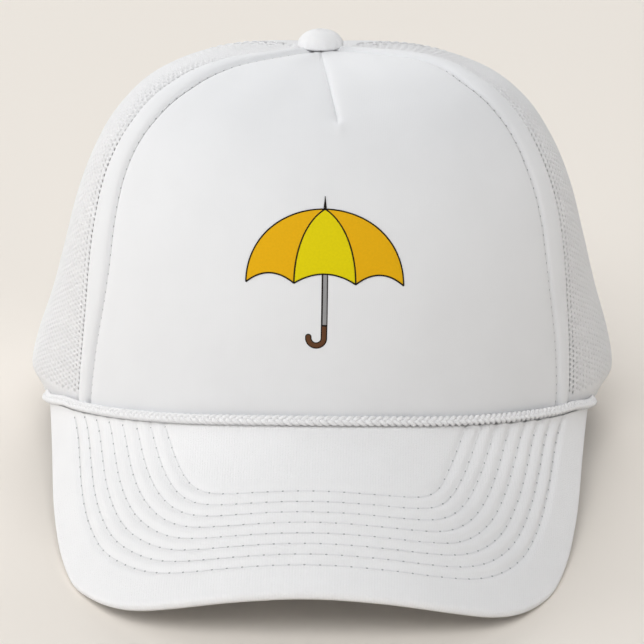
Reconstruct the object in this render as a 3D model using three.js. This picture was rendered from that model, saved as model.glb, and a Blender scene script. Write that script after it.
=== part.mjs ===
// Mesh-back cap: a foam front panel, four net panels, a curved brim, a rope along the
// brim seam, a cloth button, a sweatband and a strap across the half-moon at the back.
// Millimetres, +Z up. The wearer looks along -Y, and the cap stands on the corners of
// its brim and on the back of its rim.

import * as THREE from "three";

const { degToRad, lerp, smoothstep } = THREE.MathUtils;

// Clearance between pieces that are sewn or pressed together
const GAP = 0.3;

// Crown, measured on the outside
const RIM_HALF_WIDTH = 91;
const RIM_FRONT = 94.5;
const RIM_BACK = 97.5;
const CROWN_HEIGHT = 94.8;
const APEX_FORWARD = 6;
const FOAM_THICKNESS = 3;
const NET_THICKNESS = 1.4;
const FRONT_SEAM_ANGLE = degToRad(60.5);
const BACK_SEAM_ANGLE = degToRad(120);
const FLAT_RIM_ANGLE = degToRad(126);

// The crown leans a little to its right side and is fuller there under the top
const LEAN = 1;
const FULLNESS = 5.4;

// Pinched dart in the front panel, from the button down
const DART_LENGTH = 0.26;
const DART_SWING = degToRad(4.2);
const DART_DEPTH = 1.5;
const DART_HALF_WIDTH = 2.4;

// Brim, cut from a flat pattern and bent about an axis that runs front to back
const BRIM_LENGTH = 69.8;
const BRIM_HALF_SPREAD = 102;
const BRIM_THICKNESS = 3.2;
const BRIM_BEND_RADIUS = 111.2;
const BRIM_DIP = degToRad(20.3);
const BRIM_END_ANGLE = degToRad(73);
const BRIM_END_WIDTH = 2.2;

// Rope in the corner between brim and crown
const ROPE_DIAMETER = 2.9;

// Button on top
const BUTTON_DIAMETER = 14.8;
const BUTTON_HEIGHT = 5.2;
const BUTTON_EDGE = 1.4;
const SHANK_DIAMETER = 5;

// Sweatband inside the rim
const BAND_HEIGHT = 30;
const BAND_THICKNESS = 1.5;
const BAND_SETBACK = 1;

// Half-moon at the back, its tape and the strap across it
const ARCH_HALF_WIDTH = 38;
const ARCH_HEIGHT = 50;
const TAPE_THICKNESS = 0.8;
const TAPE_LEG = 4.5;
const STRAP_HEIGHT = 18;
const STRAP_THICKNESS = 1.6;
const STRAP_OVERLAP = 13;

// Rows of the crown from the foot of its wall to the top. Each column is a meridian and
// gives the reach from the crown's axis, as a share of the rim's reach there, and the
// height above the rope, as a share of what is left up to the top.
const CROWN_ROWS = [
  { front: [1.000, 0.000], seam: [1.000, 0.000], side: [1.030, 0.000], back: [1.000, 0.000] },
  { front: [1.000, 0.000], seam: [1.000, 0.000], side: [1.062, 0.000], back: [1.012, 0.000] },
  { front: [1.003, 0.080], seam: [1.006, 0.065], side: [1.080, 0.050], back: [1.020, 0.060] },
  { front: [1.000, 0.190], seam: [1.002, 0.170], side: [1.055, 0.150], back: [1.012, 0.160] },
  { front: [0.986, 0.320], seam: [0.988, 0.310], side: [0.998, 0.290], back: [0.985, 0.280] },
  { front: [0.950, 0.460], seam: [0.966, 0.465], side: [0.946, 0.440], back: [0.935, 0.420] },
  { front: [0.890, 0.605], seam: [0.926, 0.625], side: [0.892, 0.590], back: [0.860, 0.555] },
  { front: [0.800, 0.750], seam: [0.862, 0.765], side: [0.822, 0.722], back: [0.755, 0.680] },
  { front: [0.690, 0.870], seam: [0.768, 0.880], side: [0.730, 0.836], back: [0.620, 0.790] },
  { front: [0.540, 0.958], seam: [0.630, 0.962], side: [0.595, 0.924], back: [0.460, 0.880] },
  { front: [0.330, 1.012], seam: [0.400, 1.008], side: [0.370, 0.982], back: [0.265, 0.948] },
  { front: [0.000, 1.000], seam: [0.000, 1.000], side: [0.000, 1.000], back: [0.000, 1.000] },
];
const MERIDIANS = [
  { name: "front", angle: 0 },
  { name: "seam", angle: FRONT_SEAM_ANGLE },
  { name: "side", angle: Math.PI / 2 },
  { name: "back", angle: Math.PI },
];

// Half of the brim's outer edge in the flat pattern, from the middle of the front to the
// side: across as a share of the half spread, out as a share of the brim's length.
const BRIM_EDGE_ROWS = [
  { across: 0.000, out: 1.000 },
  { across: 0.196, out: 0.996 },
  { across: 0.392, out: 0.970 },
  { across: 0.539, out: 0.913 },
  { across: 0.647, out: 0.822 },
  { across: 0.735, out: 0.700 },
  { across: 0.804, out: 0.565 },
  { across: 0.863, out: 0.362 },
  { across: 0.902, out: 0.172 },
  { across: 0.941, out: -0.072 },
  { across: 0.980, out: -0.411 },
];

// Numbers of steps along and across each piece
const PANEL_STEPS_UP = 15;
const PANEL_FOOT_DENSITY = 1.45;
const FRONT_STEPS_ACROSS = 26;
const SIDE_STEPS_ACROSS = 9;
const BACK_STEPS = { across: 5, arch: 12 };
const BRIM_STEPS = { across: 34, out: 5 };
const ROPE_STEPS = { along: 42, around: 8 };
const BUTTON_STEPS = { around: 20, dome: 4, under: 1 };
const BAND_STEPS_AROUND = 46;
const STRAP_STEPS_AROUND = 16;

const vector = (x, y, z) => new THREE.Vector3(x, y, z);
const steps = (count) => Array.from({ length: count + 1 }, (_, i) => i / count);

// Value at x of a smooth curve through the knots, each { at, value: [numbers] }. A ghost
// knot beyond each end sets the slope there.
function smoothThrough(knots, x) {
  let k = 1;
  while (k < knots.length - 3 && x > knots[k + 1].at) k += 1;
  const [before, from, to, after] = knots.slice(k - 1, k + 3);
  const span = to.at - from.at;
  const u = (x - from.at) / span;
  return from.value.map((start, i) => {
    const end = to.value[i];
    const slopeFrom = ((end - before.value[i]) / (to.at - before.at)) * span;
    const slopeTo = ((after.value[i] - start) / (after.at - from.at)) * span;
    return (2 * u ** 3 - 3 * u ** 2 + 1) * start + (u ** 3 - 2 * u ** 2 + u) * slopeFrom
      + (3 * u ** 2 - 2 * u ** 3) * end + (u ** 3 - u ** 2) * slopeTo;
  });
}

// Knots with a mirrored or straightened ghost at each end
function withStraightEnds(knots) {
  const extend = (end, next) => ({
    at: 2 * end.at - next.at,
    value: end.value.map((v, i) => 2 * v - next.value[i]),
  });
  const last = knots.length - 1;
  return [extend(knots[0], knots[1]), ...knots, extend(knots[last], knots[last - 1])];
}

// The place between low and high where f crosses zero, for an f that grows
function solve(f, low, high) {
  for (let i = 0; i < 40; i += 1) {
    const middle = (low + high) / 2;
    if (f(middle) < 0) low = middle;
    else high = middle;
  }
  return (low + high) / 2;
}

// Brim surface. The flat pattern has s across and l outwards from the front of the rim;
// lift is the distance above the brim's top face.
const frontRim = { y: -RIM_FRONT, z: 0 };

function brimPoint(s, l, lift) {
  const angle = s / BRIM_BEND_RADIUS;
  const radius = BRIM_BEND_RADIUS + lift;
  const drop = radius * Math.cos(angle) - BRIM_BEND_RADIUS;
  return vector(
    radius * Math.sin(angle),
    frontRim.y - l * Math.cos(BRIM_DIP) - drop * Math.sin(BRIM_DIP),
    frontRim.z - l * Math.sin(BRIM_DIP) + drop * Math.cos(BRIM_DIP),
  );
}

// Flat-pattern place of the point of the brim, at this lift, that has these x and y
function brimPlace(x, y, lift) {
  const radius = BRIM_BEND_RADIUS + lift;
  const drop = Math.sqrt(Math.max(radius ** 2 - x ** 2, 0)) - BRIM_BEND_RADIUS;
  return {
    s: BRIM_BEND_RADIUS * Math.asin(Math.min(Math.abs(x) / radius, 1)) * Math.sign(x),
    l: (frontRim.y - y - drop * Math.sin(BRIM_DIP)) / Math.cos(BRIM_DIP),
  };
}

function brimHeight(x, y, lift) {
  const { s, l } = brimPlace(x, y, lift);
  return brimPoint(s, l, lift).z;
}

const brimEdgeKnots = BRIM_EDGE_ROWS.map((row, i) => ({
  at: i,
  value: [row.across * BRIM_HALF_SPREAD, row.out * BRIM_LENGTH],
}));

// The brim's corners stand on the ground, which sets the height of the front of the rim
function lowestOfBrim() {
  const knots = withStraightEnds(brimEdgeKnots);
  const last = brimEdgeKnots.length - 1;
  const places = steps(BRIM_STEPS.across).map((a) => {
    const along = Math.abs(2 * a - 1) * brimEdgeKnots.length;
    return smoothThrough(knots, Math.min(along, last));
  });
  return Math.min(...places.map(([s, l]) => brimPoint(s, l, -BRIM_THICKNESS).z));
}
frontRim.z = -lowestOfBrim();

const apexHeight = frontRim.z + CROWN_HEIGHT;
const ropeRadius = ROPE_DIAMETER / 2;
const wallUnderBulge = BRIM_THICKNESS + ROPE_DIAMETER + GAP;

// Crown. The angle runs from the front, positive to the right side (+X); t runs from 0 at
// the foot of the wall to 1 at the top.
const wrapAngle = (angle) => Math.abs(Math.atan2(Math.sin(angle), Math.cos(angle)));

function meridianKnots(row) {
  const knots = MERIDIANS.map(({ name, angle }) => ({ at: angle, value: row[name] }));
  const seam = knots[1];
  const side = knots[2];
  return [
    { at: -seam.at, value: seam.value },
    ...knots,
    { at: 2 * Math.PI - side.at, value: side.value },
  ];
}
const meridianTable = CROWN_ROWS.map(meridianKnots);

function planPoint(angle, reach) {
  const foreAft = Math.cos(angle) > 0 ? RIM_FRONT : RIM_BACK;
  return {
    x: RIM_HALF_WIDTH * reach * Math.sin(angle),
    y: -APEX_FORWARD * (1 - reach) - foreAft * reach * Math.cos(angle),
  };
}

// Height of the foot of the wall: the brim's lower face as far as the brim goes, then an
// easy curve down to the ground
function footHeight(angle) {
  const along = wrapAngle(angle);
  const beside = (a) => {
    const { x, y } = planPoint(a, smoothThrough(meridianTable[0], a)[0]);
    return brimHeight(x, y, -BRIM_THICKNESS);
  };
  if (along <= BRIM_END_ANGLE) return beside(along);
  if (along >= FLAT_RIM_ANGLE) return 0;
  const span = FLAT_RIM_ANGLE - BRIM_END_ANGLE;
  const nudge = 0.01;
  const start = beside(BRIM_END_ANGLE);
  const slope = ((start - beside(BRIM_END_ANGLE - nudge)) / nudge) * span;
  const u = (along - BRIM_END_ANGLE) / span;
  return (2 * u ** 3 - 3 * u ** 2 + 1) * start + (u ** 3 - 2 * u ** 2 + u) * slope;
}

function meridian(angle) {
  const foot = footHeight(angle);
  const start = foot + wallUnderBulge;
  return withStraightEnds(meridianTable.map((knots, i) => {
    const [reach, share] = smoothThrough(knots, wrapAngle(angle));
    const z = i === 0 ? foot : lerp(start, apexHeight, share);
    return { at: i / (CROWN_ROWS.length - 1), value: [reach, z] };
  }));
}

function crownPoint(angle, t, knots = meridian(angle)) {
  const [reach, z] = smoothThrough(knots, t);
  const { x, y } = planPoint(angle, reach);
  const middle = Math.sin(Math.PI * Math.min(Math.max(t, 0), 1)) ** 2;
  return vector(x + LEAN * middle, y, z + FULLNESS * middle * t * (x / RIM_HALF_WIDTH));
}

function crownFrame(angle, t) {
  const nudge = 1e-3;
  const low = Math.max(t - nudge, 0);
  const high = Math.min(t + nudge, 1);
  const around = crownPoint(angle + nudge, t).sub(crownPoint(angle - nudge, t)).divideScalar(2 * nudge);
  const up = crownPoint(angle, high).sub(crownPoint(angle, low)).divideScalar(high - low);
  return { around, up, out: around.clone().cross(up).normalize() };
}

// Point of the crown at a depth under its outer face. The foot of the wall is cut level.
function wallPoint(angle, t, depth) {
  const point = crownPoint(angle, t);
  const { out } = crownFrame(angle, t);
  if (t > 0) return point.addScaledVector(out, -depth);
  const level = vector(out.x, out.y, 0).normalize();
  return point.addScaledVector(level, -depth);
}

function placeAtHeight(angle, height) {
  const knots = meridian(angle);
  const foot = footHeight(angle);
  return solve((t) => crownPoint(angle, t, knots).z - foot - height, 0, 0.7);
}

function placeAtRadius(angle, radius) {
  const knots = meridian(angle);
  const fromApex = (t) => {
    const { x, y } = crownPoint(angle, t, knots);
    return Math.hypot(x, y + APEX_FORWARD);
  };
  return solve((t) => radius - fromApex(t), 0.7, 1);
}

// Closed bodies
function closedGeometry(points, triangles) {
  const position = new Float32Array(points.flatMap((p) => [p.x, p.y, p.z]));
  const volume = triangles.reduce((sum, [a, b, c]) => (
    sum + points[a].dot(points[b].clone().cross(points[c]))
  ), 0);
  const facing = volume > 0 ? triangles : triangles.map(([a, b, c]) => [a, c, b]);
  const geometry = new THREE.BufferGeometry();
  geometry.setAttribute("position", new THREE.BufferAttribute(position, 3));
  geometry.setIndex(facing.flat());
  geometry.computeVertexNormals();
  return geometry;
}

// Two triangles of a four-sided face, cut along its shorter diagonal
function quad(points, a, b, c, d) {
  const acrossAC = points[a].distanceTo(points[c]);
  const acrossBD = points[b].distanceTo(points[d]);
  return acrossAC <= acrossBD ? [[a, b, c], [a, c, d]] : [[b, c, d], [b, d, a]];
}

// A wall between two grids of points with the same rows and columns
function wallBetween(outer, inner) {
  const rows = outer.length;
  const columns = outer[0].length;
  const points = [...outer.flat(), ...inner.flat()];
  const out = (i, j) => i * columns + j;
  const back = (i, j) => rows * columns + out(i, j);
  const triangles = [];
  for (let i = 0; i + 1 < rows; i += 1) {
    for (let j = 0; j + 1 < columns; j += 1) {
      triangles.push(...quad(points, out(i, j), out(i, j + 1), out(i + 1, j + 1), out(i + 1, j)));
      triangles.push(...quad(points, back(i, j), back(i + 1, j), back(i + 1, j + 1), back(i, j + 1)));
    }
    triangles.push(...quad(points, out(i, 0), out(i + 1, 0), back(i + 1, 0), back(i, 0)));
    const j = columns - 1;
    triangles.push(...quad(points, out(i + 1, j), out(i, j), back(i, j), back(i + 1, j)));
  }
  for (let j = 0; j + 1 < columns; j += 1) {
    const i = rows - 1;
    triangles.push(...quad(points, out(0, j + 1), out(0, j), back(0, j), back(0, j + 1)));
    triangles.push(...quad(points, out(i, j), out(i, j + 1), back(i, j + 1), back(i, j)));
  }
  return closedGeometry(points, triangles);
}

// A body through equal loops of points, with its two ends closed by the given triangles
function bodyThroughLoops(loops, capTriangles) {
  const count = loops[0].length;
  const points = loops.flat();
  const triangles = [];
  for (let i = 0; i + 1 < loops.length; i += 1) {
    for (let j = 0; j < count; j += 1) {
      const next = (j + 1) % count;
      const row = i * count;
      triangles.push(...quad(points, row + j, row + next, row + count + next, row + count + j));
    }
  }
  const last = (loops.length - 1) * count;
  capTriangles.forEach(([a, b, c]) => {
    triangles.push([a, c, b], [last + a, last + b, last + c]);
  });
  return closedGeometry(points, triangles);
}

// Panels. Each runs between two seam angles, with half of the gap off each seam, from a
// lower edge up to the hole for the button's shank.
const shankRadius = SHANK_DIAMETER / 2;

const panelTop = (angle) => placeAtRadius(angle, shankRadius + GAP);
const panelRows = steps(PANEL_STEPS_UP).map((v) => v ** PANEL_FOOT_DENSITY);

function panel(angles, thickness, lowEdge, dent = () => 0) {
  const columns = angles.map(({ angle, offSeam }) => {
    const top = panelTop(angle);
    const low = lowEdge(angle);
    return panelRows.map((v) => {
      const t = lerp(low, top, v);
      const shift = offSeam === 0 ? 0 : (offSeam * GAP) / 2 / crownFrame(angle, t).around.length();
      return { angle: angle + shift, t };
    });
  });
  const grid = (depth) => columns.map((column) => column.map(({ angle, t }) => (
    wallPoint(angle, t, depth + dent(angle, t))
  )));
  return wallBetween(grid(0), grid(thickness));
}

const atFoot = () => 0;

// Columns from one seam to the other; the first and last stand off their seams
function seamToSeam(from, to, count, spread = (u) => u) {
  return steps(count).map((u, i) => ({
    angle: lerp(from, to, spread(u)),
    offSeam: i === 0 ? 1 : (i === count ? -1 : 0),
  }));
}

// Dent of the dart: a groove that swings to the right as it runs down and fades out
function dartDent(angle, t) {
  const down = (1 - t) / DART_LENGTH;
  if (down >= 1) return 0;
  const middle = DART_SWING * down ** 1.4;
  const across = (angle - middle) * crownFrame(angle, t).around.length();
  const fade = smoothstep(down, 0.2, 0.45) * (1 - smoothstep(down, 0.65, 1));
  return DART_DEPTH * fade * Math.exp(-((across / DART_HALF_WIDTH) ** 2));
}

function frontPanel() {
  const denserInTheMiddle = (u) => {
    const v = 2 * u - 1;
    return (1 + 0.45 * v + 0.55 * v ** 3) / 2;
  };
  const angles = seamToSeam(-FRONT_SEAM_ANGLE, FRONT_SEAM_ANGLE, FRONT_STEPS_ACROSS, denserInTheMiddle);
  return panel(angles, FOAM_THICKNESS, atFoot, dartDent);
}

function sidePanel(side) {
  const angles = side > 0
    ? seamToSeam(FRONT_SEAM_ANGLE, BACK_SEAM_ANGLE, SIDE_STEPS_ACROSS)
    : seamToSeam(-BACK_SEAM_ANGLE, -FRONT_SEAM_ANGLE, SIDE_STEPS_ACROSS);
  return panel(angles, NET_THICKNESS, atFoot);
}

// Half-moon at the back: turn runs from -90 degrees to 90 degrees across it
const archAngle = (turn) => Math.asin((ARCH_HALF_WIDTH / RIM_HALF_WIDTH) * Math.sin(turn));
const archCorner = archAngle(Math.PI / 2);

function archPlace(turn) {
  const angle = Math.PI - archAngle(turn);
  return { angle, t: placeAtHeight(angle, ARCH_HEIGHT * Math.cos(turn)) };
}

function backPanel(side) {
  const plain = steps(BACK_STEPS.across).map((u, i) => ({
    angle: lerp(BACK_SEAM_ANGLE, Math.PI - archCorner, u),
    offSeam: i === 0 ? 1 : 0,
  }));
  const arch = steps(BACK_STEPS.arch).slice(1).map((u, i) => ({
    angle: archPlace((1 - u) * Math.PI / 2).angle,
    offSeam: i === BACK_STEPS.arch - 1 ? -1 : 0,
  }));
  const rightHalf = [...plain, ...arch];
  const mirrored = rightHalf.map(({ angle, offSeam }) => ({ angle: -angle, offSeam: -offSeam })).reverse();
  const lowEdge = (angle) => {
    const across = (Math.sin(angle) * RIM_HALF_WIDTH) / ARCH_HALF_WIDTH;
    return Math.abs(across) >= 1 ? 0 : archPlace(Math.asin(across)).t;
  };
  return panel(side > 0 ? rightHalf : mirrored, NET_THICKNESS, lowEdge);
}

// Brim. Its inner edge stands off the wall of the crown by the gap, at both faces.
function besideWall(angle, t, distance) {
  const { out } = crownFrame(angle, t);
  const level = vector(out.x, out.y, 0).normalize();
  return crownPoint(angle, t).addScaledVector(level, distance);
}

function brimInnerPlace(angle, lift) {
  const above = (t) => {
    const point = besideWall(angle, t, GAP);
    return point.z - brimHeight(point.x, point.y, lift);
  };
  const { x, y } = besideWall(angle, solve(above, 0, 0.2), GAP);
  return brimPlace(x, y, lift);
}

function brimOuterPlace(u) {
  const inner = brimInnerPlace(BRIM_END_ANGLE, 0);
  const end = { at: brimEdgeKnots.length, value: [inner.s + BRIM_END_WIDTH, inner.l] };
  const knots = withStraightEnds([...brimEdgeKnots, end]);
  const [s, l] = smoothThrough(knots, Math.abs(u) * brimEdgeKnots.length);
  return { s: s * Math.sign(u), l };
}

function brim() {
  const grid = (lift) => steps(BRIM_STEPS.across).map((a) => {
    const u = 2 * a - 1;
    const inner = brimInnerPlace(u * BRIM_END_ANGLE, lift);
    const outer = brimOuterPlace(u);
    return steps(BRIM_STEPS.out).map((v) => (
      brimPoint(lerp(inner.s, outer.s, v), lerp(inner.l, outer.l, v), lift)
    ));
  });
  return wallBetween(grid(0), grid(-BRIM_THICKNESS));
}

// Rope, laid on the brim and against the wall
function ropeCentre(angle) {
  const reach = ropeRadius + GAP;
  const above = (t) => {
    const point = besideWall(angle, t, reach);
    return point.z - brimHeight(point.x, point.y, reach);
  };
  return besideWall(angle, solve(above, 0, 0.25), reach);
}

function rope() {
  const centres = steps(ROPE_STEPS.along).map((u) => ropeCentre((2 * u - 1) * BRIM_END_ANGLE));
  const section = new THREE.Shape(steps(ROPE_STEPS.around).slice(1).map((u) => (
    new THREE.Vector2(Math.cos(2 * Math.PI * u), Math.sin(2 * Math.PI * u)).multiplyScalar(ropeRadius)
  )));
  return new THREE.ExtrudeGeometry(section, {
    steps: ROPE_STEPS.along,
    bevelEnabled: false,
    extrudePath: new THREE.CatmullRomCurve3(centres),
  });
}

// Button with its shank through the panels. Its underside follows the crown.
function button() {
  const apex = crownPoint(0, 1);
  const around = steps(BUTTON_STEPS.around).slice(1).map((u) => 2 * Math.PI * u);
  const radius = BUTTON_DIAMETER / 2;
  const onCrown = (angle, r) => crownPoint(angle, placeAtRadius(angle, r));
  const front = onCrown(0, radius);
  const back = onCrown(Math.PI, radius);
  const right = onCrown(Math.PI / 2, radius);
  const left = onCrown(-Math.PI / 2, radius);
  const axis = right.clone().sub(left).cross(back.clone().sub(front)).normalize();
  const seat = (r, height) => around.map((angle) => onCrown(angle, r).addScaledVector(axis, height));
  const centre = front.clone().add(back).add(right).add(left).divideScalar(4);
  const flat = (r, height) => around.map((angle) => {
    const { x, y } = onCrown(angle, radius);
    const spoke = vector(x - centre.x, y - centre.y, 0).projectOnPlane(axis).setLength(r);
    return centre.clone().addScaledVector(axis, height).add(spoke);
  });
  const depth = FOAM_THICKNESS + GAP;
  const under = steps(BUTTON_STEPS.under).map((u) => seat(lerp(shankRadius, radius, u), GAP));
  const dome = steps(BUTTON_STEPS.dome).slice(0, -1).map((u) => {
    const rise = (u * Math.PI) / 2;
    const height = lerp(BUTTON_EDGE, BUTTON_HEIGHT, Math.sin(rise));
    return flat(radius * Math.cos(rise), GAP + height);
  });
  const loops = [seat(shankRadius, -depth), ...under, ...dome];
  const count = around.length;
  const fan = Array.from({ length: count - 2 }, (_, i) => [0, i + 1, i + 2]);
  return bodyThroughLoops(loops, fan);
}

// A band inside the foot of the panels, which bends where their rows bend
function bandInside(angles, height, outerDepth, thickness) {
  const columns = angles.map((angle) => ({
    angle,
    low: placeAtHeight(angle, BAND_SETBACK),
    high: placeAtHeight(angle, BAND_SETBACK + height),
    rows: panelRows.map((v) => v * panelTop(angle)),
  }));
  const shared = panelRows.map((_, i) => i).filter((i) => (
    columns.every(({ low, high, rows }) => rows[i] > low && rows[i] < high)
  ));
  const grid = (extra) => columns.map(({ angle, low, high, rows }) => {
    const places = [low, ...shared.map((i) => rows[i]), high];
    return places.map((t) => wallPoint(angle, t, outerDepth(angle) + extra));
  });
  return wallBetween(grid(0), grid(thickness));
}

// Depth of the sweatband's outer face: inside the foam, then inside the net, then inside
// the ends of the strap
const strapDepth = NET_THICKNESS + TAPE_THICKNESS + 2 * GAP;
const strapEndAngle = Math.PI - archCorner - STRAP_OVERLAP / RIM_BACK;

function bandDepth(angle) {
  const along = wrapAngle(angle);
  const ease = degToRad(14);
  const clear = degToRad(3);
  const behindSeam = smoothstep(along, FRONT_SEAM_ANGLE + clear, FRONT_SEAM_ANGLE + ease);
  const atStrap = smoothstep(along, strapEndAngle - ease, strapEndAngle - clear);
  const besideNet = lerp(FOAM_THICKNESS, NET_THICKNESS, behindSeam) + GAP;
  return lerp(besideNet, strapDepth + STRAP_THICKNESS + GAP, atStrap);
}

function sweatband() {
  const end = Math.PI - archCorner;
  const angles = steps(BAND_STEPS_AROUND).map((u) => lerp(-end, end, u));
  return bandInside(angles, BAND_HEIGHT, bandDepth, BAND_THICKNESS);
}

function rearStrap() {
  const angles = steps(STRAP_STEPS_AROUND).map((u) => lerp(strapEndAngle, 2 * Math.PI - strapEndAngle, u));
  return bandInside(angles, STRAP_HEIGHT, () => strapDepth, STRAP_THICKNESS);
}

// Tape folded over the edge of the half-moon: a channel whose legs follow the net
function archBinding() {
  const endTurn = degToRad(89);
  const legRoom = GAP + TAPE_THICKNESS;
  const section = [
    { into: TAPE_LEG, out: legRoom },
    { into: -legRoom, out: legRoom },
    { into: -legRoom, out: -NET_THICKNESS - legRoom },
    { into: TAPE_LEG, out: -NET_THICKNESS - legRoom },
    { into: TAPE_LEG, out: -NET_THICKNESS - GAP },
    { into: -GAP, out: -NET_THICKNESS - GAP },
    { into: -GAP, out: GAP },
    { into: TAPE_LEG, out: GAP },
  ];
  const edge = (turn) => {
    const { angle, t } = archPlace(turn);
    return crownPoint(angle, t);
  };
  const loops = steps(2 * BACK_STEPS.arch).map((u) => {
    const turn = Math.min(Math.max((u - 0.5) * Math.PI, -endTurn), endTurn);
    const nudge = 1e-3;
    const along = edge(turn + nudge).sub(edge(turn - nudge)).normalize();
    const { angle, t } = archPlace(turn);
    const { around, up, out } = crownFrame(angle, t);
    const into = along.clone().cross(out).normalize();
    const atAngle = (step) => {
      const goAround = around.clone().addScaledVector(up, -around.dot(up) / up.lengthSq());
      const goUp = up.clone().addScaledVector(around, -around.dot(up) / around.lengthSq());
      const place = {
        angle: angle + (step * into.dot(goAround)) / goAround.lengthSq(),
        t: t + (step * into.dot(goUp)) / goUp.lengthSq(),
      };
      return { point: crownPoint(place.angle, place.t), out: crownFrame(place.angle, place.t).out };
    };
    return section.map((corner) => {
      const at = corner.into > 0 ? atAngle(corner.into) : { point: edge(turn), out };
      const beyond = corner.into > 0 ? 0 : corner.into;
      return at.point.clone().addScaledVector(at.out, corner.out).addScaledVector(into, beyond);
    });
  });
  const flatSection = section.map((corner) => new THREE.Vector2(corner.into, corner.out));
  return bodyThroughLoops(loops, THREE.ShapeUtils.triangulateShape(flatSection, []));
}

// Materials
const finish = (color, roughness) => new THREE.MeshStandardMaterial({ color, roughness, metalness: 0 });
const foamCloth = finish(0xececec, 0.9);
const netCloth = finish(0xe6e6e6, 0.85);
const brimCloth = finish(0xefefef, 0.9);
const ropeCord = finish(0xf6f6f4, 0.8);
const bandCloth = finish(0xe2e2e0, 0.95);
const strapPlastic = finish(0xf0f0ee, 0.45);

function piece(name, geometry, material) {
  const mesh = new THREE.Mesh(geometry, material);
  mesh.name = name;
  return mesh;
}

const cap = new THREE.Group();
cap.add(
  piece("front_panel", frontPanel(), foamCloth),
  piece("side_panel_right", sidePanel(1), netCloth),
  piece("side_panel_left", sidePanel(-1), netCloth),
  piece("back_panel_right", backPanel(1), netCloth),
  piece("back_panel_left", backPanel(-1), netCloth),
  piece("brim", brim(), brimCloth),
  piece("rope_trim", rope(), ropeCord),
  piece("top_button", button(), foamCloth),
  piece("sweatband", sweatband(), bandCloth),
  piece("rear_strap", rearStrap(), strapPlastic),
  piece("arch_binding", archBinding(), bandCloth),
);

// The origin is on the ground under the middle of the cap
const middle = new THREE.Box3().setFromObject(cap).getCenter(vector(0, 0, 0));
cap.position.set(-middle.x, -middle.y, 0);
cap.updateMatrixWorld(true);

export default cap;
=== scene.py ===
"""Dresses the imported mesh-back cap: foam front, pierced net, stitched brim and rope.

Lengths in the classes are millimetres in the crown's own frame: +Z up, the wearer looks
along -Y, and the middle of the head is near the origin. CapShape repeats the crown and
brim surfaces of the part, and turns their points into metres in the frame of the part.
"""

import logging
import math
from collections.abc import Callable
from dataclasses import dataclass
from enum import Enum, IntEnum
from functools import cache, cached_property, partial

import bpy
import numpy as np
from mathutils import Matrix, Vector
from mathutils.kdtree import KDTree


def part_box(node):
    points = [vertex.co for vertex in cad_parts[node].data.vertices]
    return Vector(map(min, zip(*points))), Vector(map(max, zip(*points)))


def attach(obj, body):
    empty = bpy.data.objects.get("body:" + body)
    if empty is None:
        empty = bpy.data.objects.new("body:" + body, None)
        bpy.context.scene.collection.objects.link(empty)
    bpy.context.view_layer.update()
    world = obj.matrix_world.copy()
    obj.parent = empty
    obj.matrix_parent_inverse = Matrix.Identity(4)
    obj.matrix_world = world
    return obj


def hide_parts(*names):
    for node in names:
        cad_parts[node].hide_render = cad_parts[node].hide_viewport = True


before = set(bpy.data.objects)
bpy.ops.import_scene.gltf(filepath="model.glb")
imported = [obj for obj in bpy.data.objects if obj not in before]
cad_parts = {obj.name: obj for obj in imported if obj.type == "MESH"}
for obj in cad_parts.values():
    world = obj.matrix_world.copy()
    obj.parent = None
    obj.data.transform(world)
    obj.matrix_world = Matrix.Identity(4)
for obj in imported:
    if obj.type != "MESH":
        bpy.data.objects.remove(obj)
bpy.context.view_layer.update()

log = logging.getLogger("cap")
Array = np.ndarray
BODY = "root"
MILLIMETRES = 1000
# Width of a column of the net, in millimetres. The photographed net is finer, and would
# take more triangles than a piece may have
NET_COLUMN = 2.3
# Length of the crown's wall on the cloth, in millimetres, from its foot to its top
WALL_LENGTH = 150
# Halvings of the span in a search for a place
SEARCH_STEPS = 34
# Sides of a sewing thread and of a needle hole
THREAD_SIDES = 6
# Corners of a cell of the net, and points around its hole
CELL_SIDES = 6
# Depth of a stitched thread's middle under the cloth's plain face, in millimetres
THREAD_DEPTH = 0.12


def smoothstep(x: Array, low: float, high: float) -> Array:
    """Eases from 0 at low to 1 at high.

    Args:
        x: values to ease.
        low: where the rise starts.
        high: where the rise ends.

    Returns:
        Values from 0 to 1 of the same shape as x.
    """
    u = np.clip((np.asarray(x, float) - low) / (high - low), 0, 1)
    return u * u * (3 - 2 * u)


def bell(x: Array, width: float) -> Array:
    """Gives 1 at x = 0, falling off over about the width to each side."""
    return np.exp(-((np.asarray(x, float) / width) ** 2))


def unit(vectors: Array) -> Array:
    """Scales vectors in the last axis to length 1."""
    return vectors / np.linalg.norm(vectors, axis=-1, keepdims=True)


def smooth_through(at: Array, values: Array, x: Array, own_rows: bool = False) -> Array:
    """Reads a smooth curve through knots, with the first and last knots as slopes only.

    Args:
        at: places of the knots, growing.
        values: one value per knot, or one row of knots per x where own_rows is set.
        x: places to read, one axis.
        own_rows: whether each x has its own row of values.

    Returns:
        One value per x.
    """
    k = np.clip(np.searchsorted(at, x, side="left") - 1, 1, len(at) - 3)
    rows = np.arange(len(x))
    before, start, end, after = (
        values[rows, k + i] if own_rows else values[k + i] for i in (-1, 0, 1, 2)
    )
    shape = (-1,) + (1,) * (start.ndim - 1)
    span = at[k + 1] - at[k]
    u = ((x - at[k]) / span).reshape(shape)
    leave = (end - before) * (span / (at[k + 1] - at[k - 1])).reshape(shape)
    arrive = (after - start) * (span / (at[k + 2] - at[k])).reshape(shape)
    return (
        (2 * u**3 - 3 * u**2 + 1) * start
        + (u**3 - 2 * u**2 + u) * leave
        + (3 * u**2 - 2 * u**3) * end
        + (u**3 - u**2) * arrive
    )


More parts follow.
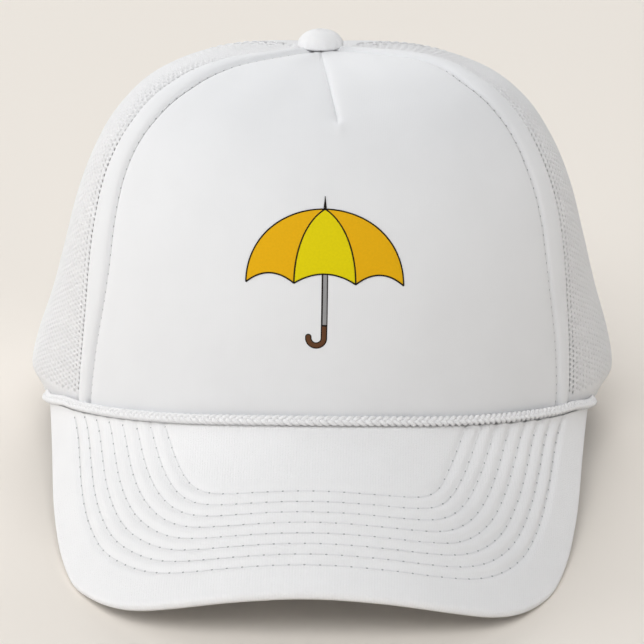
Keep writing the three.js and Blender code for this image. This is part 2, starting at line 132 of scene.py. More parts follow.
def with_straight_ends(values: Array) -> Array:
    """Adds a knot beyond each end of the first axis, in line with the last two.

    Args:
        values: knots along the first axis.

    Returns:
        The knots, two more than before.
    """
    first = 2 * values[0] - values[1]
    last = 2 * values[-1] - values[-2]
    return np.concatenate([first[None], values, last[None]])


def solve(f: Callable[[Array], Array], low: float, high: float, count: int) -> Array:
    """Finds where each of several growing functions crosses zero.

    Args:
        f: takes one place per function and returns one value per function.
        low: lower end of the search.
        high: upper end of the search.
        count: number of functions.

    Returns:
        One place per function.
    """
    lows, highs = np.full(count, low), np.full(count, high)
    for _ in range(SEARCH_STEPS):
        middles = (lows + highs) / 2
        under = f(middles) < 0
        lows, highs = np.where(under, middles, lows), np.where(under, highs, middles)
    return (lows + highs) / 2


def lengths_along(line: Array) -> Array:
    """Gives the lengths from the start of a line to each of its points."""
    return np.concatenate([[0], np.cumsum(np.linalg.norm(np.diff(line, axis=0), axis=1))])


def points_at(where: Array, along: Array, line: Array) -> Array:
    """Reads a line's points, or directions, at lengths along it."""
    return np.stack([np.interp(where, along, column) for column in line.T], -1)


def stacked(*parts: Array | float) -> Array:
    """Joins values of like shapes into points, in a new last axis."""
    return np.stack(np.broadcast_arrays(*parts), -1)


def turns(count: int) -> Array:
    """Gives the angles of evenly spaced points around a circle."""
    return np.arange(count) * math.tau / count


def from_front(angle: Array) -> Array:
    """Turns angles of any size into -180 to 180 degrees from the front."""
    return np.arctan2(np.sin(angle), np.cos(angle))


def ring_faces(rings: int, around: int) -> tuple[Array, Array, Array]:
    """Numbers the points of a tube's rings and joins neighbouring rings.

    Args:
        rings: number of rings.
        around: number of points in each ring.

    Returns:
        The numbers, the number of each point's neighbour in its ring, and the faces.
    """
    index = np.arange(rings * around).reshape(rings, around)
    after = np.roll(index, -1, axis=1)
    faces = np.stack([index[:-1], after[:-1], after[1:], index[1:]], -1).reshape(-1, 4)
    return index, after, faces


@dataclass
class CapShape:
    """Crown and brim surfaces that every piece is laid on."""

    gap: float = 0.3
    rim_half_width: float = 91.0
    rim_front: float = 94.5
    rim_back: float = 97.5
    crown_height: float = 94.8
    apex_forward: float = 6.0
    foam_thickness: float = 3.0
    net_thickness: float = 1.4
    front_seam: float = math.radians(60.5)
    back_seam: float = math.radians(120)
    flat_rim: float = math.radians(126)
    lean: float = 1.0
    fullness: float = 5.4
    brim_length: float = 69.8
    brim_half_spread: float = 102.0
    brim_thickness: float = 3.2
    bend_radius: float = 111.2
    brim_dip: float = math.radians(20.3)
    brim_end: float = math.radians(73)
    brim_end_width: float = 2.2
    rope_diameter: float = 2.9
    shank_radius: float = 2.5

    # Reach and height of the crown in rows from the foot to the top, by meridian: front,
    # front seam, side and back
    crown_rows: tuple[tuple[tuple[float, float], ...], ...] = (
        ((1.000, 0.000), (1.000, 0.000), (1.006, 0.000), (1.000, 0.000)),
        ((1.000, 0.000), (1.000, 0.000), (1.052, 0.000), (1.012, 0.000)),
        ((1.003, 0.080), (1.006, 0.065), (1.080, 0.050), (1.020, 0.060)),
        ((1.000, 0.190), (1.002, 0.170), (1.055, 0.150), (1.012, 0.160)),
        ((0.986, 0.320), (0.988, 0.310), (0.998, 0.290), (0.985, 0.280)),
        ((0.950, 0.460), (0.966, 0.465), (0.946, 0.440), (0.935, 0.420)),
        ((0.890, 0.605), (0.926, 0.625), (0.892, 0.590), (0.860, 0.555)),
        ((0.800, 0.750), (0.862, 0.765), (0.822, 0.722), (0.755, 0.680)),
        ((0.690, 0.870), (0.768, 0.880), (0.730, 0.836), (0.620, 0.790)),
        ((0.540, 0.958), (0.630, 0.962), (0.595, 0.924), (0.460, 0.880)),
        ((0.330, 1.012), (0.400, 1.008), (0.370, 0.982), (0.265, 0.948)),
        ((0.000, 1.000), (0.000, 1.000), (0.000, 1.000), (0.000, 1.000)),
    )
    # Half of the brim's outer edge in the flat pattern: across and out, as shares
    brim_edge_rows: tuple[tuple[float, float], ...] = (
        (0.000, 1.000),
        (0.196, 0.996),
        (0.392, 0.970),
        (0.539, 0.913),
        (0.647, 0.822),
        (0.735, 0.700),
        (0.804, 0.565),
        (0.863, 0.362),
        (0.902, 0.172),
        (0.941, -0.072),
        (0.980, -0.411),
    )
    # Seams of the front panel as sewn: place up the wall, and angle on the -X and +X sides
    seam_rows: tuple[tuple[float, float, float], ...] = (
        (0.00, 59.8, 62.7),
        (0.27, 58.0, 62.6),
        (0.40, 57.6, 62.5),
        (0.52, 58.6, 63.1),
        (0.64, 59.8, 62.9),
        (0.75, 59.4, 63.9),
        (0.83, 59.6, 66.5),
        (0.88, 60.3, 71.5),
        (0.93, 61.0, 77.0),
        (1.00, 61.0, 80.0),
    )

    @cached_property
    def offset(self) -> Array:
        """Place of the crown's own frame in the frame of the part.

        Returns:
            Millimetres along x, y and z.
        """
        low, high = (np.array(corner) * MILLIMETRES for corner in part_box("brim"))
        tip = -self.rim_front - self.brim_length * math.cos(self.brim_dip)
        return np.array([(low[0] + high[0]) / 2, low[1] - tip, 0.0])

    def metres(self, points: Array) -> Array:
        """Turns millimetres in the crown's frame into metres in the part's frame."""
        return (np.asarray(points) + self.offset) / MILLIMETRES

    @cached_property
    def edge_knots(self) -> Array:
        """Knots of half of the brim's outer edge in the flat pattern."""
        return np.array(self.brim_edge_rows) * [self.brim_half_spread, self.brim_length]

    @cached_property
    def rim_height(self) -> float:
        """Height of the front of the rim, set by the brim's corners on the ground.

        Returns:
            Millimetres over the ground.
        """
        knots = with_straight_ends(self.edge_knots)
        count = len(self.edge_knots)
        along = np.abs(np.linspace(-1, 1, 35)) * count
        at = np.arange(-1, count + 1, dtype=float)
        s, out = smooth_through(at, knots, np.minimum(along, count - 1)).T
        under = self.bend_radius - self.brim_thickness
        drop = under * np.cos(s / self.bend_radius) - self.bend_radius
        heights = drop * math.cos(self.brim_dip) - out * math.sin(self.brim_dip)
        return -float(heights.min())

    @property
    def apex_height(self) -> float:
        """Height of the top of the crown."""
        return self.rim_height + self.crown_height

    def brim_point(self, s: Array, out: Array, lift: Array) -> Array:
        """Bends a place of the brim's flat pattern into space.

        Args:
            s: distance across the pattern.
            out: distance outwards from the front of the rim.
            lift: height above the brim's top face.

        Returns:
            Points, with x, y and z in a new last axis.
        """
        s, out, lift = np.broadcast_arrays(s, out, lift)
        angle = s / self.bend_radius
        radius = self.bend_radius + lift
        drop = radius * np.cos(angle) - self.bend_radius
        dip = self.brim_dip
        return np.stack([
            radius * np.sin(angle),
            -self.rim_front - out * math.cos(dip) - drop * math.sin(dip),
            self.rim_height - out * math.sin(dip) + drop * math.cos(dip),
        ], axis=-1)

    def brim_place(self, x: Array, y: Array, lift: float) -> tuple[Array, Array]:
        """Finds the flat-pattern place of the brim's point at this x, y and lift.

        Args:
            x: distance to the wearer's left side.
            y: distance backwards.
            lift: height above the top face.

        Returns:
            Lengths across the pattern, and outwards from the front of the rim.
        """
        radius = self.bend_radius + lift
        drop = np.sqrt(np.maximum(radius**2 - x**2, 0)) - self.bend_radius
        s = self.bend_radius * np.arcsin(np.clip(x / radius, -1, 1))
        out = (-self.rim_front - y - drop * math.sin(self.brim_dip)) / math.cos(self.brim_dip)
        return s, out

    def brim_height(self, x: Array, y: Array, lift: float) -> Array:
        """Height of the brim's surface at this x and y, at a lift above its top face."""
        s, out = self.brim_place(x, y, lift)
        return self.brim_point(s, out, np.full_like(s, lift))[..., 2]

    @cached_property
    def meridians(self) -> tuple[Array, Array]:
        """Angles of the meridians' knots, and the table of rows at each of them.

        Returns:
            Angles from the front, and meridians by rows by reach and height.
        """
        rows = np.array(self.crown_rows)
        front, seam, side, back = (rows[:, i] for i in range(4))
        angles = [-self.front_seam, 0, self.front_seam, math.pi / 2, math.pi, 1.5 * math.pi]
        return np.array(angles), np.stack([seam, front, seam, side, back, side])

    def plan_point(self, angle: Array, reach: Array) -> tuple[Array, Array]:
        """Gives x and y of a share of the rim's reach at an angle from the front.

        Args:
            angle: angle from the front.
            reach: share of the rim's reach.

        Returns:
            Distances along x and y.
        """
        fore_aft = np.where(np.cos(angle) > 0, self.rim_front, self.rim_back)
        x = self.rim_half_width * reach * np.sin(angle)
        y = -self.apex_forward * (1 - reach) - fore_aft * reach * np.cos(angle)
        return x, y

    def foot_height(self, angle: Array) -> Array:
        """Height of the foot of the wall: under the brim, then easing down to the ground.

        Args:
            angle: angles from the front, one axis.

        Returns:
            Heights, one per angle.
        """
        along = np.abs(from_front(angle))
        angles, table = self.meridians

        def beside(a: Array) -> Array:
            """Height of the brim's lower face beside the wall."""
            x, y = self.plan_point(a, smooth_through(angles, table[:, 0], a)[:, 0])
            return self.brim_height(x, y, -self.brim_thickness)

        nudge = 0.01
        end = np.array([self.brim_end, self.brim_end - nudge])
        start, before = beside(end)
        span = self.flat_rim - self.brim_end
        slope = (start - before) / nudge * span
        u = np.clip((along - self.brim_end) / span, 0, 1)
        eased = (2 * u**3 - 3 * u**2 + 1) * start + (u**3 - 2 * u**2 + u) * slope
        return np.where(along <= self.brim_end, beside(np.minimum(along, self.brim_end)), eased)

    def surface(self, angle: Array, t: Array) -> Array:
        """Finds points of the crown's outer face.

        Args:
            angle: angle from the front, positive to the wearer's left side (+X).
            t: place from 0 at the foot of the wall to 1 at the top.

        Returns:
            Points, with x, y and z in a new last axis.
        """
        angle, t = np.broadcast_arrays(np.asarray(angle, float), np.asarray(t, float))
        flat_angle, flat_t = angle.ravel(), t.ravel()
        along = np.abs(from_front(flat_angle))
        angles, table = self.meridians
        rows = smooth_through(angles, table, along)
        foot = self.foot_height(flat_angle)
        start = foot + self.brim_thickness + self.rope_diameter + self.gap
        height = start[:, None] + rows[..., 1] * (self.apex_height - start)[:, None]
        height[:, 0] = foot
        knots = np.stack([rows[..., 0], height], axis=-1).swapaxes(0, 1)
        knots = with_straight_ends(knots).swapaxes(0, 1)
        last = len(self.crown_rows) - 1
        at = np.arange(-1, last + 2) / last
        reach, z = smooth_through(at, knots, flat_t, own_rows=True).T
        x, y = self.plan_point(flat_angle, reach)
        middle = np.sin(math.pi * np.clip(flat_t, 0, 1)) ** 2
        full = z + self.fullness * middle * flat_t * x / self.rim_half_width
        return np.stack([x + self.lean * middle, y, full], axis=-1).reshape(*angle.shape, 3)

    def axes(self, angle: Array, t: Array) -> tuple[Array, Array, Array]:
        """Gives the directions of the crown's outer face at a place.

        Args:
            angle: angle from the front.
            t: place from the foot to the top.

        Returns:
            The changes of the point with angle and with t, and the unit vector outwards.
        """
        angle, t = np.broadcast_arrays(np.asarray(angle, float), np.asarray(t, float))
        nudge = 1e-3
        low, high = np.maximum(t - nudge, 0), np.minimum(t + nudge, 1)
        ahead, behind = self.surface(angle + nudge, t), self.surface(angle - nudge, t)
        around = (ahead - behind) / (2 * nudge)
        up = (self.surface(angle, high) - self.surface(angle, low)) / (high - low)[..., None]
        return around, up, unit(np.cross(around, up))

    def radian(self, angle: Array, t: Array) -> Array:
        """Gives the millimetres that a radian around takes up on the cloth."""
        return np.linalg.norm(self.axes(angle, t)[0], axis=-1)

    def wall(self, angle: Array, t: Array, depth: Array | float = 0.0) -> Array:
        """Finds points at a depth under the outer face. The foot is cut level.

        Args:
            angle: angle from the front.
            t: place from the foot to the top.
            depth: distance inwards.

        Returns:
            Points, with x, y and z in a new last axis.
        """
        angle, t = np.broadcast_arrays(np.asarray(angle, float), np.asarray(t, float))
        out = self.axes(angle, t)[2].copy()
        out[..., 2] *= smoothstep(t, 0.0, 0.03)
        return self.surface(angle, t) - unit(out) * np.asarray(depth)[..., None]

    def seam_angle(self, side: int, t: Array) -> Array:
        """Finds the front panel's seam at places up the wall.

        Args:
            side: 1 for the +X side and -1 for the -X side.
            t: place from the foot to the top.

        Returns:
            Angles from the front, with the sign of the side.
        """
        knots = with_straight_ends(np.array(self.seam_rows))
        flat = np.asarray(t, float).ravel()
        degrees = smooth_through(knots[:, 0], knots[:, 1:], flat)[:, max(side, 0)]
        return side * np.radians(degrees).reshape(np.shape(t))

    def back_line(self, side: int, t: Array) -> Array:
        """Angle of the seam at the middle of the back, reached from a side."""
        return np.full(np.shape(t), side * math.pi)

    def beside_wall(self, angle: Array, t: Array, distance: float) -> Array:
        """Finds points at a level distance outside the wall.

        Args:
            angle: angle from the front.
            t: place from the foot to the top.
            distance: how far outside.

        Returns:
            Points, with x, y and z in a new last axis.
        """
        out = self.axes(angle, t)[2].copy()
        out[..., 2] = 0
        return self.surface(angle, t) + unit(out) * distance

    def at_height(self, angle: Array, height: Array | float) -> Array:
        """Finds the place on the wall at a height above its foot.

        Args:
            angle: angle from the front.
            height: height above the foot, of a like shape.

        Returns:
            Places from 0 at the foot to 1 at the top.
        """
        angle, height = np.broadcast_arrays(np.asarray(angle, float), height)
        flat, above = angle.ravel(), height.ravel()
        foot = self.foot_height(flat)
        places = solve(lambda t: self.surface(flat, t)[:, 2] - foot - above, 0.0, 0.7, len(flat))
        return places.reshape(angle.shape)

    def at_radius(self, angle: Array, radius: float) -> Array:
        """Finds the place at a level distance from the top of the crown.

        Args:
            angle: angles from the front, one axis.
            radius: the level distance.

        Returns:
            Places, one per angle.
        """
        angle = np.asarray(angle, float)

        def short(t: Array) -> Array:
            """Gives how far a place is inside the radius."""
            x, y, _ = self.surface(angle, t).T
            return radius - np.hypot(x, y + self.apex_forward)

        return solve(short, 0.7, 1.0, len(angle))

    def brim_inner(self, angle: Array, lift: float) -> tuple[Array, Array]:
        """Flat-pattern place of the brim's inner edge, a gap away from the wall.

        Args:
            angle: angles from the front, one axis.
            lift: height above the top face.

        Returns:
            Lengths across the pattern, and outwards from the front of the rim.
        """
        def above(t: Array) -> Array:
            """Height of the wall's point over the brim's surface."""
            x, y, z = self.beside_wall(angle, t, self.gap).T
            return z - self.brim_height(x, y, lift)

        x, y, _ = self.beside_wall(angle, solve(above, 0.0, 0.2, len(angle)), self.gap).T
        return self.brim_place(x, y, lift)

    def brim_outer(self, u: Array) -> tuple[Array, Array]:
        """Flat-pattern place of the brim's outer edge, for u from -1 to 1 across it.

        Args:
            u: places along the edge, one axis.

        Returns:
            Lengths across the pattern, and outwards from the front of the rim.
        """
        s, out = self.brim_inner(np.array([self.brim_end]), 0.0)
        end = np.array([[s[0] + self.brim_end_width, out[0]]])
        knots = with_straight_ends(np.concatenate([self.edge_knots, end]))
        at = np.arange(-1, len(knots) - 1, dtype=float)
        s, out = smooth_through(at, knots, np.abs(u) * len(self.edge_knots)).T
        return s * np.sign(u), out

    def seam_rise(self, share: Array) -> Array:
        """How far the seam allowance lifts the brim at the wall, by share of the brim's end."""
        share = np.abs(share)
        return 1.6 + 1.1 * smoothstep(share, 0.3, 0.75) - 1.9 * smoothstep(share, 0.86, 1.03)

    def rope_centre(self, angle: Array) -> Array:
        """Centre line of the rope, which lies on the brim and against the wall.

        Args:
            angle: angles from the front, one axis.

        Returns:
            Points, one per angle.
        """
        reach = self.rope_diameter / 2 + self.gap

        def above(t: Array) -> Array:
            """Height of a point beside the wall over the line of the rope."""
            x, y, z = self.beside_wall(angle, t, reach).T
            return z - self.brim_height(x, y, reach)

        return self.beside_wall(angle, solve(above, 0.0, 0.25, len(angle)), reach)


def linear(code: str) -> tuple[float, float, float, float]:
    """Turns an sRGB hex colour into linear red, green, blue and alpha."""
    shares = (int(code[i:i + 2], 16) / 255 for i in (1, 3, 5))
    return (*(c / 12.92 if c <= 0.04045 else ((c + 0.055) / 1.055) ** 2.4 for c in shares), 1.0)


def add_node(
    tree: bpy.types.NodeTree,
    kind: str,
    settings: dict[str, object] | None = None,
    inputs: dict[str | int, object] | None = None,
) -> bpy.types.Node:
    """Adds a node with its settings, values and links.

    Args:
        tree: node tree to add to.
        kind: Blender's name for the kind of node.
        settings: attributes of the node.
        inputs: a value or a socket to link from, by input.

    Returns:
        The new node.
    """
    node = tree.nodes.new(kind)
    for key, value in (settings or {}).items():
        setattr(node, key, value)
    for key, value in (inputs or {}).items():
        if isinstance(value, bpy.types.NodeSocket):
            tree.links.new(value, node.inputs[key])
        else:
            node.inputs[key].default_value = value
    return node


def new_material(name: str) -> tuple[bpy.types.Material, bpy.types.NodeTree]:
    """Makes a material with an empty node tree.

    Args:
        name: name of the material.

    Returns:
        The material and its tree.
    """
    made = bpy.data.materials.new(name)
    made.use_nodes = True
    made.node_tree.nodes.clear()
    return made, made.node_tree


def noise(
    tree: bpy.types.NodeTree, scale: float, detail: float, roughness: float = 0.5
) -> bpy.types.NodeSocket:
    """Adds a noise over the millimetres along the piece.

    Args:
        tree: node tree to add to.
        scale: grains per millimetre.
        detail: how many finer noises it holds.
        roughness: strength of the finer noises.

    Returns:
        The socket with the noise.
    """
    place = add_node(tree, "ShaderNodeAttribute", {"attribute_name": "cloth"})
    return add_node(tree, "ShaderNodeTexNoise", {}, {
        "Vector": place.outputs["Vector"], "Scale": scale, "Detail": detail, "Roughness": roughness,
    }).outputs["Fac"]


def ranged(
    tree: bpy.types.NodeTree, value: bpy.types.NodeSocket, low: float, high: float,
    span: tuple[float, float] = (0.3, 0.7),
) -> bpy.types.NodeSocket:
    """Maps a span of a value to a range.

    Args:
        tree: node tree to add to.
        value: socket with the value.
        low: result at the start of the span.
        high: result at its end.
        span: start and end. Most of a noise lies in the usual one.

    Returns:
        The socket with the result.
    """
    return add_node(tree, "ShaderNodeMapRange", {}, {
        "Value": value, "From Min": span[0], "From Max": span[1], "To Min": low, "To Max": high,
    }).outputs["Result"]


def tinted(tree: bpy.types.NodeTree, colour: str, factor: bpy.types.NodeSocket) -> bpy.types.NodeSocket:
    """Multiplies a colour by a factor.

    Args:
        tree: node tree to add to.
        colour: sRGB hex colour.
        factor: socket with the factor.

    Returns:
        The socket with the result.
    """
    settings = {"data_type": "RGBA", "blend_type": "MULTIPLY"}
    inputs = {0: 1.0, "A": linear(colour), "B": factor}
    return add_node(tree, "ShaderNodeMix", settings, inputs).outputs[2]


def raised(
    tree: bpy.types.NodeTree, strength: float, depth: float, height: bpy.types.NodeSocket, **under: object
) -> bpy.types.NodeSocket:
    """Adds a bump.

    Args:
        tree: node tree to add to.
        strength: how much of it shows.
        depth: its depth in millimetres.
        height: socket with the height, from 0 to 1.
        under: the normal of a bump under it, if any.

    Returns:
        The socket with the normal.
    """
    inputs = {"Strength": strength, "Distance": depth / MILLIMETRES, "Height": height, **under}
    return add_node(tree, "ShaderNodeBump", {}, inputs).outputs["Normal"]


def shade(tree: bpy.types.NodeTree, inputs: dict[str, object]) -> None:
    """Adds the shader with its inputs, and the material's output."""
    shader = add_node(tree, "ShaderNodeBsdfPrincipled", {}, inputs)
    add_node(tree, "ShaderNodeOutputMaterial", {}, {"Surface": shader.outputs["BSDF"]})


class Weave(Enum):
    """How the threads of a cloth run."""

    KNIT = "knit"
    TWILL = "twill"
    YARN = "yarn"
    CHEVRON = "chevron"


@dataclass(frozen=True)
class ClothFinish:
    """A textile finish, with its threads drawn from a real spacing.

    The pattern reads the "cloth" attribute of the mesh, which holds millimetres along
    the piece, so the threads keep their size and follow the shape.
    """

    name: str
    colour: str
    weave: Weave
    thread_spacing: float
    relief: float
    roughness: float = 0.9
    sheen: float = 0.25
    tint_spread: float = 0.03
    # Share of painted shade that darkens the grooves between threads
    groove_shade: float = 0.3
    fuzz_depth: float = 0.05
    fuzz_grain: float = 3.1
    scatter: float = 0.0

    def material(self) -> bpy.types.Material:
        """Builds the material: tint drift, painted shade between threads, thread relief and fibre fuzz.

        Returns:
            The new material.
        """
        made, tree = new_material(self.name)
        place = add_node(tree, "ShaderNodeAttribute", {"attribute_name": "cloth"})
        threads = self.threads(tree, place.outputs["Vector"])
        # Grooves between threads get painted shade, and the dye drifts over some 16 mm
        tone = ranged(tree, noise(tree, 0.06, 3.0), 1.0 - self.tint_spread, 1.0)
        grooves = ranged(tree, threads, 1.0 - self.groove_shade * 0.25, 1.0, (0.0, 1.0))
        # The dye's tone times the painted shade of the grooves
        depth = add_node(tree, "ShaderNodeMath", {"operation": "MULTIPLY"}, {0: tone, 1: grooves})
        fuzz = raised(tree, 0.5, self.fuzz_depth, noise(tree, self.fuzz_grain, 4.0, 0.7))
        shade(tree, {
            "Base Color": tinted(tree, self.colour, depth.outputs[0]), "Roughness": self.roughness,
            "IOR": 1.5, "Sheen Weight": self.sheen, "Sheen Roughness": 0.6,
            "Subsurface Weight": self.scatter, "Subsurface Scale": 0.0015,
            "Subsurface Radius": (1.0, 1.0, 1.0), "Specular IOR Level": 0.25,
            "Normal": raised(tree, 0.8, self.relief, threads, Normal=fuzz),
        })
        return made

    def threads(self, tree: bpy.types.NodeTree, place: bpy.types.NodeSocket) -> bpy.types.NodeSocket:
        """Draws the height of the threads, from 0 between them to 1 on top.

        Args:
            tree: node tree to add to.
            place: millimetres along the piece.

        Returns:
            The socket with the height.
        """
        turns = math.tau / self.thread_spacing / 2
        if self.weave is Weave.CHEVRON:
            place = self.folded(tree, place)
        across, along = {
            Weave.KNIT: ((1.0, 0.0, 0.0), (0.5, 1.0, 0.0)),
            Weave.TWILL: ((0.7071, 0.7071, 0.0), (0.5, -0.5, 0.0)),
            Weave.YARN: ((1.0, 0.6, 0.0), (0.2, 0.2, 0.0)),
            Weave.CHEVRON: ((1.1, 0.9, 0.0), (0.6, -0.2, 0.0)),
        }[self.weave]
        heights = []
        for direction in (across, along):
            where = add_node(tree, "ShaderNodeVectorMath", {"operation": "DOT_PRODUCT"}, {
                0: place, 1: tuple(turns * c for c in direction),
            })
            wave = add_node(tree, "ShaderNodeMath", {"operation": "SINE"}, {0: where.outputs["Value"]})
            ridge = add_node(tree, "ShaderNodeMath", {"operation": "ABSOLUTE"}, {0: wave.outputs[0]})
            heights.append(ridge.outputs[0])
        crossing = 0.35
        mixed = add_node(tree, "ShaderNodeMath", {"operation": "MULTIPLY_ADD"}, {
            0: heights[1], 1: crossing, 2: heights[0],
        })
        level = {0: mixed.outputs[0], 1: 1 + crossing}
        return add_node(tree, "ShaderNodeMath", {"operation": "DIVIDE"}, level).outputs[0]

    def folded(self, tree: bpy.types.NodeTree, place: bpy.types.NodeSocket) -> bpy.types.NodeSocket:
        """Folds lengths across at each column of the net, so that threads turn there.

        Args:
            tree: node tree to add to.
            place: millimetres along the piece.

        Returns:
            The socket with the folded place.
        """
        parts = add_node(tree, "ShaderNodeSeparateXYZ", {}, {0: place})
        across = add_node(tree, "ShaderNodeMath", {"operation": "PINGPONG"}, {
            0: parts.outputs["X"], 1: NET_COLUMN / 2,
        })
        back = add_node(tree, "ShaderNodeCombineXYZ", {}, {
            "X": across.outputs[0], "Y": parts.outputs["Y"],
        })
        return back.outputs["Vector"]


@dataclass(frozen=True)
class PlasticFinish:
    """Moulded polyethylene, slightly milky with a satin skin from the tool."""

    name: str
    colour: str
    roughness: float = 0.42

    def material(self) -> bpy.types.Material:
        """Builds the material: satin with faint flow marks and a little scatter.

        Returns:
            The new material.
        """
        made, tree = new_material(self.name)
        flow = noise(tree, 0.35, 3.0)
        shade(tree, {
            "Base Color": linear(self.colour), "IOR": 1.5, "Subsurface Weight": 0.15,
            "Subsurface Scale": 0.002, "Subsurface Radius": (1.0, 0.9, 0.8),
            "Roughness": ranged(tree, flow, self.roughness - 0.06, self.roughness + 0.08),
            "Normal": raised(tree, 0.3, 0.04, flow),
        })
        return made


@dataclass(frozen=True)
class InkFinish:
    """Screen-printed ink, which lies on the cloth as a thin satin film."""

    name: str
    colour: str
    roughness: float = 0.7

    def material(self) -> bpy.types.Material:
        """Builds the material: even colour with the cloth's knit showing through.

        Returns:
            The new material.
        """
        made, tree = new_material(self.name)
        grain = noise(tree, 1.4, 3.0)
        shade(tree, {
            "Base Color": tinted(tree, self.colour, ranged(tree, grain, 0.94, 1.0)), "IOR": 1.48,
            "Roughness": self.roughness, "Specular IOR Level": 0.12,
            "Normal": raised(tree, 0.4, 0.05, grain),
        })
        return made


@cache
def material_of(finish: ClothFinish | PlasticFinish | InkFinish) -> bpy.types.Material:
    """Gives the one material of a finish, built on first use."""
    return finish.material()


# Thread spacings are in millimetres. Those of tricot, canvas and twill are drawn about
# twice as coarse as real ones, because finer threads would vanish between the pixels

# Polyester tricot bonded to foam: matt, even and very finely ribbed
FOAM_CLOTH = ClothFinish(
    "foam_tricot", "#E9EAEC", Weave.KNIT, 0.6, 0.02, 0.92, 0.3, 0.02, 0.08, 0.05, 2.2
)
# Warp-knitted polyester net: smooth filament with a slight gleam
NET_CLOTH = ClothFinish(
    "knitted_net", "#EDEDEF", Weave.CHEVRON, 0.62, 0.1, 0.6, 0.1, 0.02, 0.2, scatter=0.5
)
# Brushed cotton canvas over a stiff insert: fine grain with raised fibres
BRIM_CLOTH = ClothFinish(
    "brim_canvas", "#F6F6F7", Weave.KNIT, 0.85, 0.06, 0.94, 0.35, 0.02, 0.13, 0.8, 1.9
)
# The same canvas pulled over the button
BUTTON_CLOTH = ClothFinish(
    "button_canvas", "#F8F8F9", Weave.TWILL, 0.6, 0.07, 0.94, 0.35, 0.02, 0.12, 0.5, 1.8
)
# Braided polyester cord: bright strands with twisted fibres
ROPE_YARN = ClothFinish("rope_yarn", "#F0F0F1", Weave.YARN, 0.45, 0.08, 0.75, 0.2, 0.02)
# Twisted polyester sewing thread
THREAD = ClothFinish("sewing_thread", "#EEEEEF", Weave.YARN, 0.35, 0.05, 0.55, 0.1, 0.02)
# Painted shade at the bottom of a needle hole: the cloth drawn darker grey, as little light reaches it
PAINTED_HOLE_SHADE = ClothFinish("needle_hole_painted_shade", "#BCBDBF", Weave.KNIT, 0.5, 0.0, 1.0, 0.0, 0.0)
# Brushed cotton twill of the sweatband and the binding tape
BAND_CLOTH = ClothFinish("band_twill", "#E6E6E7", Weave.TWILL, 0.9, 0.09, 0.95, 0.35)
# Snap strap, moulded in polyethylene
STRAP_PLASTIC = PlasticFinish("moulded_polyethylene", "#E9E9EA")


